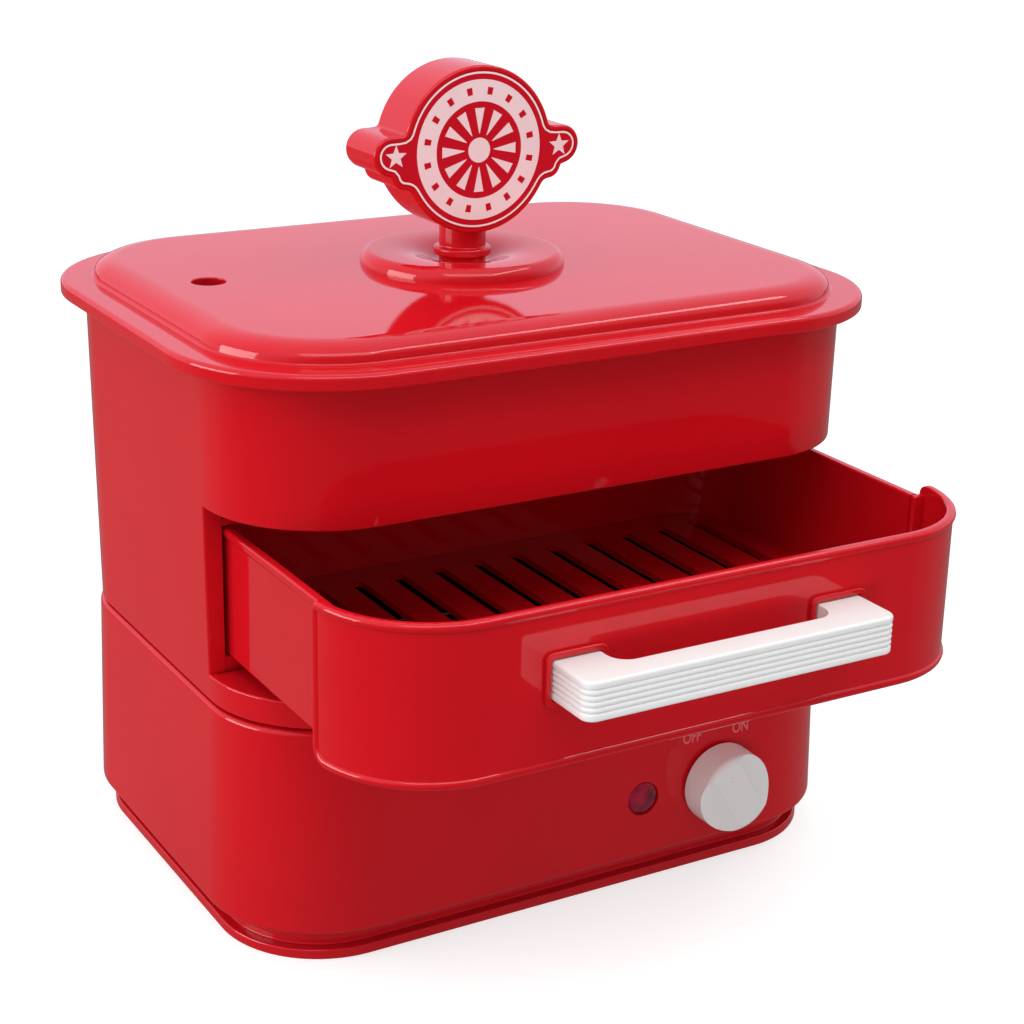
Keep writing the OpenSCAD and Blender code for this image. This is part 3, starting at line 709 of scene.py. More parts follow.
class NodeSheet:
    """Adds shader nodes to one tree and links them."""

    def __init__(self, tree: bpy.types.NodeTree) -> None:
        """Empties the tree.

        Args:
            tree: The node tree of a material or a world.
        """
        self.tree = tree
        tree.nodes.clear()

    def add(self, kind: str, settings: dict[str, object] | None = None, **inputs: object) -> bpy.types.Node:
        """Adds a node.

        Args:
            kind: The node's type.
            settings: Attributes to set on it.
            inputs: Values or sockets for its inputs, with _ for spaces.

        Returns:
            The node.
        """
        node = self.tree.nodes.new(kind)
        for key, value in (settings or {}).items():
            setattr(node, key, value)
        for key, value in inputs.items():
            self.plug(value, node.inputs[key.replace("_", " ")])
        return node

    def plug(self, value: object, socket: bpy.types.NodeSocket) -> None:
        """Fills one input.

        Args:
            value: A socket to link, or a plain value to set.
            socket: The input.
        """
        if isinstance(value, bpy.types.NodeSocket):
            self.tree.links.new(value, socket)
        else:
            socket.default_value = value

    def math(self, operation: str, first: object, second: object) -> bpy.types.NodeSocket:
        """Works out one value from two.

        Args:
            operation: The math node's operation.
            first: A value or socket.
            second: Another one.

        Returns:
            The result.
        """
        node = self.add("ShaderNodeMath", {"operation": operation})
        self.plug(first, node.inputs[0])
        self.plug(second, node.inputs[1])
        return node.outputs[0]

    def ahead(self, where: bpy.types.NodeSocket, way: Point) -> bpy.types.NodeSocket:
        """Measures how far a place lies in one direction.

        Args:
            where: The place.
            way: The direction.

        Returns:
            The distance times the length of the direction.
        """
        node = self.add("ShaderNodeVectorMath", {"operation": "DOT_PRODUCT"})
        self.plug(where, node.inputs[0])
        self.plug(way, node.inputs[1])
        return node.outputs["Value"]

    def mix(self, share: object, first: object, second: object) -> bpy.types.NodeSocket:
        """Mixes two colours.

        Args:
            share: How much of the second colour is taken.
            first: A colour or socket.
            second: Another one.

        Returns:
            The mixed colour.
        """
        node = self.tree.nodes.new("ShaderNodeMix")
        node.data_type = "RGBA"
        for index, value in ((0, share), (6, first), (7, second)):
            self.plug(value, node.inputs[index])
        return node.outputs[2]

    def span(
        self, value: bpy.types.NodeSocket, low: float, high: float, lowest: float = 0.3, highest: float = 0.7
    ) -> bpy.types.NodeSocket:
        """Returns a value brought from the span of lowest and highest to that of low and high."""
        ends = {"From_Min": lowest, "From_Max": highest, "To_Min": low, "To_Max": high}
        return self.add("ShaderNodeMapRange", Value=value, **ends).outputs[0]

    def place(self, scale: Point = (1, 1, 1)) -> bpy.types.NodeSocket:
        """Returns object coordinates in metres, stretched by scale."""
        coords = self.add("ShaderNodeTexCoord").outputs["Object"]
        return self.add("ShaderNodeMapping", Vector=coords, Scale=scale).outputs[0]

    def noise(self, where: bpy.types.NodeSocket, scale: float, detail: float = 2.0) -> bpy.types.NodeSocket:
        """Returns the value of a noise of that many cells a metre."""
        return self.add("ShaderNodeTexNoise", Vector=where, Scale=scale, Detail=detail).outputs[0]

    def bump(
        self,
        height: bpy.types.NodeSocket,
        depth: float,
        strength: float = 1.0,
        under: bpy.types.NodeSocket | None = None,
    ) -> bpy.types.NodeSocket:
        """Roughens a surface.

        Args:
            height: The pattern of the roughness.
            depth: Its depth in metres.
            strength: How much of it is felt.
            under: Another normal that it lies on.

        Returns:
            The normal.
        """
        node = self.add("ShaderNodeBump", Height=height, Distance=depth, Strength=strength)
        if under is not None:
            self.plug(under, node.inputs["Normal"])
        return node.outputs[0]

    def principled(self, **inputs: object) -> bpy.types.Node:
        """Returns a principled shader with those inputs."""
        return self.add("ShaderNodeBsdfPrincipled", **inputs)

    def rays(self) -> tuple[bpy.types.NodeSocket, bpy.types.NodeSocket]:
        """Tells the kinds of light rays apart.

        Returns:
            Whether a ray comes from the camera or through clear plastic, and whether it was mirrored.
        """
        path = self.add("ShaderNodeLightPath").outputs
        seen = self.math("MAXIMUM", path["Is Camera Ray"], path["Is Transmission Ray"])
        return seen, path["Is Glossy Ray"]


@dataclass(frozen=True)
class Finish:
    """What a piece's surface is made of."""

    name: str
    tone: Tone
    roughness: float

    def material(self) -> bpy.types.Material:
        """Builds the material at its first use.

        Returns:
            The material.
        """
        found = bpy.data.materials.get(self.name)
        if found is None:
            found = bpy.data.materials.new(self.name)
            found.use_nodes = True
            sheet = NodeSheet(found.node_tree)
            shader = self.shade(sheet)
            sheet.add("ShaderNodeOutputMaterial", Surface=shader.outputs[0])
        return found

    def shade(self, sheet: NodeSheet) -> bpy.types.Node:
        """Builds the shader.

        Args:
            sheet: The material's nodes.

        Returns:
            The shader's node.
        """
        raise NotImplementedError

    def dress(self, *nodes: str) -> None:
        """Paints CAD nodes that stay in view.

        Args:
            nodes: The nodes' names.
        """
        for name in nodes:
            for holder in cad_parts[name].material_slots:
                holder.material = self.material()


@dataclass(frozen=True)
class MouldedPlastic(Finish):
    """Injection-moulded plastic with faint flow marks and a very fine skin."""

    ior: float = 1.5
    mottle: float = 0.03
    ripple: float = 0.00003
    skin: float = 0.000004
    flow_cells: float = 14
    rough_cells: float = 55
    ripple_cells: float = 28
    skin_cells: float = 2400

    def shade(self, sheet: NodeSheet) -> bpy.types.Node:
        """Builds the shader.

        Args:
            sheet: The material's nodes.

        Returns:
            The shader's node.
        """
        where = sheet.place()
        flow = sheet.noise(where, self.flow_cells, 3)
        darker = self.tone.linear(1 - self.mottle)
        lighter = self.tone.linear(1 + self.mottle)
        color = sheet.mix(sheet.span(flow, 0, 1), darker, lighter)
        cloud = sheet.noise(where, self.rough_cells, 4)
        rough = sheet.span(cloud, self.roughness * 0.8, self.roughness * 1.25)
        waves = sheet.bump(sheet.noise(where, self.ripple_cells, 1), self.ripple)
        grain = sheet.bump(sheet.noise(where, self.skin_cells, 2), self.skin, under=waves)
        return sheet.principled(Base_Color=color, Roughness=rough, IOR=self.ior, Normal=grain)


@dataclass(frozen=True)
class Rubber(Finish):
    """Matte rubber with a sandy grain and a little dust."""

    ior: float = 1.45
    dust_cells: float = 120
    grain_cells: float = 1800
    grain_depth: float = 0.00006

    def shade(self, sheet: NodeSheet) -> bpy.types.Node:
        """Builds the shader.

        Args:
            sheet: The material's nodes.

        Returns:
            The shader's node.
        """
        where = sheet.place()
        dust = sheet.noise(where, self.dust_cells, 4)
        color = sheet.mix(sheet.span(dust, 0, 0.5, 0.45, 0.8), self.tone.linear(), self.tone.linear(2.2))
        grain = sheet.bump(sheet.noise(where, self.grain_cells, 3), self.grain_depth)
        return sheet.principled(Base_Color=color, Roughness=self.roughness, IOR=self.ior, Normal=grain)


@dataclass(frozen=True)
class Metal(Finish):
    """Metal with marks that run along one direction."""

    along: Point = (1, 1, 30)
    tint: Tone = Tone(120, 120, 124)
    marks: float = 0.00002
    mark_cells: float = 260
    stain_cells: float = 70

    def shade(self, sheet: NodeSheet) -> bpy.types.Node:
        """Builds the shader.

        Args:
            sheet: The material's nodes.

        Returns:
            The shader's node.
        """
        brushed = sheet.noise(sheet.place(self.along), self.mark_cells, 4)
        stain = sheet.noise(sheet.place(), self.stain_cells, 4)
        color = sheet.mix(sheet.span(stain, 0, 0.6, 0.4, 0.8), self.tone.linear(), self.tint.linear())
        rough = sheet.span(brushed, self.roughness * 0.7, self.roughness * 1.4)
        grain = sheet.bump(brushed, self.marks)
        return sheet.principled(Base_Color=color, Metallic=1.0, Roughness=rough, Normal=grain)


@dataclass(frozen=True)
class TurnedMetal(Finish):
    """Metal turned on a lathe round the vertical axis, with fine rings."""

    rings: float = 900.0
    marks: float = 0.00002
    haze_cells: float = 60

    def shade(self, sheet: NodeSheet) -> bpy.types.Node:
        """Builds the shader.

        Args:
            sheet: The material's nodes.

        Returns:
            The shader's node.
        """
        where = sheet.place()
        rings = sheet.add(
            "ShaderNodeTexWave",
            {"wave_type": "RINGS", "rings_direction": "Z"},
            Vector=where,
            Scale=self.rings,
            Distortion=1.5,
            Detail=2.0,
        ).outputs[1]
        haze = sheet.noise(where, self.haze_cells, 4)
        color = sheet.mix(sheet.span(haze, 0, 0.7), self.tone.linear(), self.tone.linear(0.72))
        rough = sheet.span(rings, self.roughness * 0.75, self.roughness * 1.3, 0, 1)
        grain = sheet.bump(rings, self.marks)
        return sheet.principled(Base_Color=color, Metallic=1.0, Roughness=rough, Normal=grain)


@dataclass(frozen=True)
class TintedLens(Finish):
    """Clear tinted plastic with small prisms inside."""

    ior: float = 1.5
    clear: float = 0.35
    coat: float = 0.4
    prism_cells: float = 700
    prism_depth: float = 0.0004
    glow_cells: float = 160

    def shade(self, sheet: NodeSheet) -> bpy.types.Node:
        """Builds the shader.

        Args:
            sheet: The material's nodes.

        Returns:
            The shader's node.
        """
        where = sheet.place()
        cells = sheet.add("ShaderNodeTexVoronoi", Vector=where, Scale=self.prism_cells).outputs[0]
        glow = sheet.noise(where, self.glow_cells, 1)
        color = sheet.mix(sheet.span(glow, 0, 1), self.tone.linear(0.35), self.tone.linear(1.5))
        return sheet.principled(
            Base_Color=color,
            Roughness=self.roughness,
            IOR=self.ior,
            Transmission_Weight=self.clear,
            Coat_Weight=self.coat,
            Coat_Roughness=0.04,
            Normal=sheet.bump(cells, self.prism_depth, 0.35),
        )


@dataclass(frozen=True)
class Print(Finish):
    """Ink on a printed sheet, with a faint screen grain."""

    ior: float = 1.3
    cloud_cells: float = 40
    rough_cells: float = 300
    grain_cells: float = 3200
    grain_depth: float = 0.000003

    def shade(self, sheet: NodeSheet) -> bpy.types.Node:
        """Builds the shader.

        Args:
            sheet: The material's nodes.

        Returns:
            The shader's node.
        """
        where = sheet.place()
        cloud = sheet.noise(where, self.cloud_cells, 3)
        color = sheet.mix(sheet.span(cloud, 0, 1), self.tone.linear(0.96), self.tone.linear(1.03))
        grain = sheet.bump(sheet.noise(where, self.grain_cells, 2), self.grain_depth)
        fleck = sheet.noise(where, self.rough_cells, 2)
        rough = sheet.span(fleck, self.roughness * 0.9, self.roughness * 1.1)
        return sheet.principled(Base_Color=color, Roughness=rough, IOR=self.ior, Normal=grain)


class Finishes:
    """The finishes of the whole steamer."""

    red = MouldedPlastic("red_gloss", Tone(210, 18, 30), 0.04)
    tray_red = MouldedPlastic("tray_gloss", Tone(190, 18, 29), 0.12)
    white = MouldedPlastic("white_gloss", Tone(247, 247, 247), 0.22, ior=1.45, mottle=0.01)
    dark = MouldedPlastic("dark_matte", Tone(44, 44, 47), 0.42, ior=1.45, skin=0.00002)
    pale = MouldedPlastic("pale_matte", Tone(228, 224, 210), 0.4, ior=1.45, skin=0.00001)
    lens = TintedLens("lamp_red", Tone(178, 20, 62), 0.08)
    foot = Rubber("foot_rubber", Tone(40, 40, 42), 0.75)
    seal = Rubber("seal_rubber", Tone(54, 53, 52), 0.7)
    bush = Rubber("bush_rubber", Tone(34, 34, 36), 0.6)
    plate = TurnedMetal("turned_plate", Tone(205, 206, 210), 0.24)
    tube = Metal("tube_steel", Tone(126, 120, 116), 0.38, tint=Tone(92, 74, 64))
    steel = Metal("rolled_steel", Tone(190, 192, 196), 0.3, along=(30, 1, 1))
    zinc = Metal("zinc_steel", Tone(202, 205, 208), 0.26, along=(6, 6, 6), tint=Tone(168, 172, 160))
    brass = Metal("turned_brass", Tone(214, 178, 96), 0.25, along=(1, 30, 1), tint=Tone(170, 130, 66))
    print_pink = Print("print_pink", Tone(255, 232, 235), 0.3)
    print_red = Print("print_red", Tone(206, 18, 40), 0.2)
    print_white = Print("print_white", Tone(252, 246, 246), 0.3)
    faint_ink = Print("faint_ink", Tone(226, 110, 120), 0.35)


# The steamer


@dataclass
class Base:
    """The heated base with its controls. The centres of controls are distances to the right and up."""

    plan: RoundedPlan = RoundedPlan(114, 84.8, 39.5)
    cover_plan: RoundedPlan = RoundedPlan(110, 80.8, 35.5)
    spigot_plan: RoundedPlan = RoundedPlan(108.7, 80.5, 35.7)
    low_z: float = 10.8
    top_z: float = 79.2
    draft: float = 2.0
    wall: float = 2.4
    low_round: float = 1.6
    top_round: float = 1.8
    top_w: float = 13.0
    spigot_top_z: float = 84.2
    spigot_wall: float = 2.2
    ring_w: float = 8.0
    sole_t: float = 1.2
    cover_z: float = 3.6
    neck_z: float = 17.0
    neck_in: Flat = (5.9, 3.5)
    cover_reach: float = 30.0
    vent_slot: Flat = (3.0, 60.0)
    vent_slots: int = 7
    vent_pitch: float = 12.0
    post: Flat = (92.3, 64.1)
    tower_r: float = 5.2
    tower_z: Flat = (2.6, 8.0)
    pocket_r: float = 3.5
    pocket_z: Flat = (-1.0, 3.5)
    screw_r: float = 1.8
    screw_z: Flat = (2.0, 9.0)
    lamp: Flat = (24.5, 32.0)
    lens_r: float = 5.5
    lens_gap: float = 0.4
    lens_neck_in: float = 1.7
    lens_step_in: float = 0.9
    lens_hole_in: float = 0.75
    lens_depth: float = 9.0
    lens_well: float = 1.2
    well: float = 0.8
    through: float = 6.0
    knob: Flat = (54.4, 32.0)
    knob_hole_r: float = 7.6
    bush: Flat = (-70.0, 30.0)
    bush_r: Flat = (8.9, 6.35)
    off_place: Flat = (43.4, 49.9)
    on_place: Flat = (63.2, 49.6)
    letter_size: float = 5.7
    letter_narrow: float = 0.74

    def front_y(self, z: float) -> float:
        """Returns where the sloping front is at a height."""
        return -(self.plan.half_d - self.draft * (z - self.low_z) / (self.top_z - self.low_z))

    def build(self) -> None:
        """Builds every piece of the base."""
        self.shell()
        self.cover()
        self.lens()
        self.labels()
        Finishes.foot.dress("rubber_feet")
        Finishes.seal.dress("plate_seal")
        Finishes.bush.dress("cord_bush")
        Finishes.dark.dress("water_basin", "rotary_switch")
        Finishes.pale.dress("lamp_body", "terminal_block")
        Finishes.plate.dress("heating_plate")
        Finishes.tube.dress("heating_tube")
        Finishes.steel.dress("heater_bracket", "thermostat", "thermal_fuse", "switch_shaft", "lamp_clip")
        Finishes.zinc.dress("cover_screws", "basin_screws", "bracket_screws")
        Finishes.brass.dress("switch_nut")

    def shell(self) -> None:
        """Builds the base's moulded shell with its spigot and recesses."""
        inner = -self.draft - self.wall
        profile = fillet(
            [
                (0, self.low_z, self.low_round),
                (-self.draft, self.top_z, self.top_round),
                (-self.top_w, self.top_z, 0.3),
                (-self.top_w, self.top_z - self.wall, 0.3),
                (inner, self.top_z - self.wall, 1),
                (-self.wall, self.low_z, 0.4),
            ]
        )
        shell = self.plan.ring("base_shell_look", profile)
        shell.cut(
            self.bore("lens_well", self.lamp, self.lens_r + self.lens_gap, self.lens_well),
            self.bore("lens_hole", self.lamp, self.lens_r - self.lens_hole_in, self.through),
            self.bore("knob_hole", self.knob, self.knob_hole_r, self.well),
            self.bore("bush_well", self.bush, self.bush_r[0], self.well, rear=True),
            self.bore("bush_hole", self.bush, self.bush_r[1], self.through, rear=True),
        )
        foot_z = self.top_z - 0.3
        spigot = [
            (0, foot_z, 0),
            (0, self.spigot_top_z, 0.6),
            (-self.spigot_wall, self.spigot_top_z, 0.6),
            (-self.spigot_wall, foot_z, 0),
        ]
        shell.join(self.spigot_plan.ring("spigot", fillet(spigot)))
        shell.finish("base", Finishes.red, "red_shell", "base_shell")

    def bore(self, name: str, place: Flat, radius: float, depth: float, rear: bool = False) -> Workpiece:
        """Makes the tool of a round hole in the front or the rear wall.

        Args:
            name: The tool's name.
            place: The hole's centre.
            radius: Its radius.
            depth: How deep it goes behind the outer face.
            rear: Whether it is in the rear wall.

        Returns:
            The tool.
        """
        x, z = place
        outwards = 1 if rear else -1
        face = -outwards * self.front_y(z)
        return Workpiece.rod(name, radius, (x, face + outwards * 4, z), (x, face - outwards * depth, z), 48)

    def cover(self) -> None:
        """Builds the plinth with its standing ring, neck, vent slots and screw towers."""
        profile = fillet(
            [
                (-self.cover_reach, self.cover_z, 0),
                (-self.neck_in[0], self.cover_z, 0.4),
                (-self.neck_in[0], self.neck_z, 0.3),
                (-self.neck_in[1], self.neck_z, 0.3),
                (-self.neck_in[1], self.cover_z, 0.5),
                (0, self.cover_z, 0.8),
                (0, 0, 0.8),
                (-self.ring_w, 0, 0.4),
                (-self.ring_w, self.sole_t, 0.3),
                (-self.cover_reach, self.sole_t, 0),
            ],
            closed=False,
        )
        cover = self.cover_plan.ring("bottom_cover_look", profile, closed=False).close()
        half_w, half_l = self.vent_slot[0] / 2, self.vent_slot[1] / 2
        first = self.vent_pitch * (self.vent_slots - 1) / 2
        slot = Workpiece.block("slot", (-first - half_w, -half_l, 0), (-first + half_w, half_l, 5))
        slot.bevel(half_w - 0.05, 6, is_upright)
        cover.cut(*slot.row(self.vent_slots, self.vent_pitch))
        for x in (self.post[0], -self.post[0]):
            for y in (self.post[1], -self.post[1]):
                tower, pocket, hole = (
                    Workpiece.rod(name, radius, (x, y, low), (x, y, high), sides)
                    for name, radius, (low, high), sides in (
                        ("screw_tower", self.tower_r, self.tower_z, 40),
                        ("screw_pocket", self.pocket_r, self.pocket_z, 40),
                        ("screw_hole", self.screw_r, self.screw_z, 32),
                    )
                )
                cover.fuse(tower).cut(pocket, hole)
        cover.finish("base", Finishes.red, "red_shell", "bottom_cover")

    def lens(self) -> None:
        """Builds the lamp's domed lens."""
        x, z = self.lamp
        r = self.lens_r
        quarter = [math.radians(angle) for angle in range(0, 91, 10)]
        dome = [(r * math.cos(angle), 0.6 + math.sin(angle)) for angle in quarter]
        neck, step, rear = r - self.lens_neck_in, r - self.lens_step_in, -self.lens_depth
        profile = [(0, -1), (neck, -1), (neck, rear), (step, rear), (step, 0), (r, 0), *dome]
        place = (x, self.front_y(z) + self.lens_well, z)
        lens = Workpiece.lathe("lamp_lens_look", profile, place, Axis.FRONT, 64)
        lens.finish("base", Finishes.lens, "lens_red", "lamp_lens")

    def labels(self) -> None:
        """Prints the two words of the switch on the sloping front."""
        lean = math.atan2(self.draft, self.top_z - self.low_z)
        for name, word, (x, z) in (("label_off", "OFF", self.off_place), ("label_on", "ON", self.on_place)):
            bpy.ops.object.text_add(location=(0, 0, 0))
            text = bpy.context.object
            text.data.body = word
            text.data.size = self.letter_size
            text.data.align_x = "CENTER"
            text.data.align_y = "CENTER"
            text.data.extrude = 0.02
            text.data.offset = 0.1
            text.scale = (self.letter_narrow, 1, 1)
            text.rotation_euler = (math.radians(90) - lean, 0, 0)
            text.location = (x, self.front_y(z) - 0.03, z)
            bpy.ops.object.convert(target="MESH")
            Workpiece(name).finish("base", Finishes.faint_ink, "sign_print")


@dataclass
class Knob:
    """The switch's round knob with a grip ridge between two scoops."""

    centre: Point = (54.4, -84.98, 32.0)
    skirt_r: float = 14.0
    skirt_h: float = 2.5
    front_r: float = 13.8
    height: float = 12.6
    edge_r: float = 2.8
    scoop_r: float = 18.0
    scoop_aside: float = 16.0
    scoop_depth: float = 3.6
    scoop_half: float = 20.0
    bore_r: float = 9.0
    bore_depth: float = 4.0
    dot_r: float = 1.4
    dot_out: float = 8.0
    dot_sunk: float = 0.9
    pointer: float = -30.0

    def build(self) -> None:
        """Builds the knob."""
        profile = fillet(
            [
                (0, self.bore_depth, 0),
                (self.bore_r, self.bore_depth, 0.3),
                (self.bore_r, 0, 0.4),
                (self.skirt_r, 0, 0.5),
                (self.skirt_r, self.skirt_h, 0.6),
                (self.front_r, self.height, self.edge_r),
                (0, self.height, 0),
            ],
            closed=False,
        )
        knob = Workpiece.lathe("knob_look", profile, self.centre, Axis.FRONT)
        lean = math.radians(self.pointer)
        ridge = Vector((math.sin(lean), 0, math.cos(lean)))
        aside = Vector((ridge.z, 0, -ridge.x))
        middle = Vector(self.centre) - Vector((0, self.height - self.scoop_depth + self.scoop_r, 0))
        for side in (-1, 1):
            place = middle + aside * (self.scoop_aside * side)
            reach = ridge * self.scoop_half
            knob.cut(Workpiece.rod("scoop", self.scoop_r, place - reach, place + reach, 96))
        knob.soften(1.3, 5, 20)
        dot = Vector(self.centre) - Vector((0, self.height - self.dot_sunk, 0)) + ridge * self.dot_out
        bpy.ops.mesh.primitive_uv_sphere_add(radius=self.dot_r, location=dot, segments=24, ring_count=12)
        knob.join(Workpiece("knob_dot"))
        knob.finish("knob", Finishes.white, "white_plastic", "knob")


@dataclass
class Housing:
    """The housing with the drawer's opening, its shelf, jambs, rails and ledge."""

    plan: RoundedPlan = RoundedPlan(111.4, 83.2, 38.4)
    low_z: float = 80.2
    top_z: float = 187.7
    grow: float = 1.1
    sill_z: float = 88.8
    sill_in: float = 15.0
    header_in: float = 6.5
    header_z: float = 143.4
    jamb_y: float = -44.3
    jamb_x: float = 105.9
    jamb_far_x: float = 110.6
    jamb_z: Flat = (86.0, 146.0)
    rail_x: float = 97.6
    rail_low_z: float = 88.2
    rail_top_z: float = 93.5
    rail_end_y: float = 48.0
    rear_rail_x: float = 103.2
    rear_rail_low_z: float = 91.1
    rear_rail_end_y: float = 64.0
    web_x: float = 109.5
    web_z: Flat = (92.5, 100.5)
    high_rail_z: Flat = (136.2, 138.6)
    high_rail_end_y: float = -2.3
    let_in: float = 0.6
    wall: float = 2.4
    lip: float = 1.3
    ledge_in: float = 7.3
    ledge_z: Flat = (176.5, 179.0)
    stop_in: float = 6.4
    stop_z: Flat = (84.2, 86.6)

    def out(self, z: float) -> float:
        """Returns how far the outer face stands past the low plan at a height."""
        return self.grow * (z - self.low_z) / (self.top_z - self.low_z)

    def build(self) -> None:
        """Builds the housing."""
        profile = fillet(
            [
                (0, self.low_z, 0.6),
                (self.out(self.sill_z), self.sill_z, 0),
                (self.out(self.header_z), self.header_z, 0),
                (self.grow, self.top_z, 0.8),
                (-self.lip, self.top_z, 0.6),
                (-self.lip, self.ledge_z[1], 0.3),
                (-self.ledge_in, self.ledge_z[1], 0.5),
                (-self.ledge_in, self.ledge_z[0], 0.5),
                (-self.wall, self.ledge_z[0], 0.8),
                (-self.wall, self.header_z, 0),
                (-self.wall, self.sill_z, 0),
                (-self.wall, self.stop_z[1], 0.3),
                (-self.stop_in, self.stop_z[1], 0.3),
                (-self.stop_in, self.stop_z[0], 0.3),
                (-self.wall, self.stop_z[0], 0.3),
                (-self.wall, self.low_z, 0.4),
            ]
        )
        skin = self.plan.ring("housing_look", profile)
        skin.slice((0, self.jamb_y, 0), (0, 1, 0))
        skin.drop_faces(lambda c: c.y < self.jamb_y and self.sill_z < c.z < self.header_z)
        skin.bridge()
        skin.bevel(0.7, 3, self.on_opening)
        skin.join(*self.inside())
        skin.finish("housing", Finishes.red, "red_shell", "housing")

    def on_opening(self, first: Vector, second: Vector) -> bool:
        """Tells whether an edge lies on the outer rim of the opening.

        Args:
            first: One end of the edge.
            second: Its other end.

        Returns:
            Whether both ends do.
        """
        x, y = self.plan.inner()
        for place in (first, second):
            across = max(0.0, abs(place.x) - x)
            deep = max(0.0, -place.y - y)
            reach = math.hypot(across, deep) if deep > 0 else across
            outside = reach > self.plan.corner_r - 0.5
            level = abs(place.z - self.sill_z) < NEAR or abs(place.z - self.header_z) < NEAR
            upright = abs(place.y - self.jamb_y) < NEAR and self.sill_z - 0.1 < place.z < self.header_z + 0.1
            if not outside or place.y > self.jamb_y + NEAR or not (level or upright):
                return False
        both_on_jamb = abs(first.y - self.jamb_y) + abs(second.y - self.jamb_y) < 2 * NEAR
        return abs(first.z - second.z) < NEAR or both_on_jamb

    def inside(self) -> list[Workpiece]:
        """Builds the sill, the header, the jambs and the rails.

        Returns:
            The separate solids.
        """
        strips = []
        for name, face_z, away, depth in (
            ("sill", self.sill_z, -1, self.sill_in),
            ("header", self.header_z, 1, self.header_in),
        ):
            near, far = face_z + away * 0.02, face_z + away * self.wall
            inner, outer = -depth, -self.let_in
            strip = [(outer, near, 0), (inner, near, 0.7), (inner, far, 0.4), (outer, far, 0)]
            strips.append(self.plan.front(name, fillet(strip)))
        rail_y = self.jamb_y + 0.4
        jamb = (
            (self.jamb_x, self.jamb_y + 0.02, self.jamb_z[0]),
            (self.jamb_far_x, self.jamb_y + self.wall, self.jamb_z[1]),
        )
        low_rail = (
            (self.rail_x, rail_y, self.rail_low_z),
            (self.web_x, self.rail_end_y, self.rail_top_z),
        )
        rear_rail = (
            (self.rail_x, self.rail_end_y - 0.5, self.rear_rail_low_z),
            (self.rear_rail_x, self.rear_rail_end_y, self.rail_top_z),
        )
        web = (
            (self.jamb_x, self.jamb_y + 1, self.web_z[0]),
            (self.web_x, self.rail_end_y, self.web_z[1]),
        )
        high_rail = (
            (self.rail_x, rail_y, self.high_rail_z[0]),
            (self.web_x, self.high_rail_end_y, self.high_rail_z[1]),
        )
        bars = []
        for side in (1, -1):
            for low, high in (jamb, low_rail, rear_rail, web, high_rail):
                near, far = sorted((low[0] * side, high[0] * side))
                bars.append(Workpiece.block("rail", (near, *low[1:]), (far, *high[1:])).soften(0.4, 2))
        return strips + bars


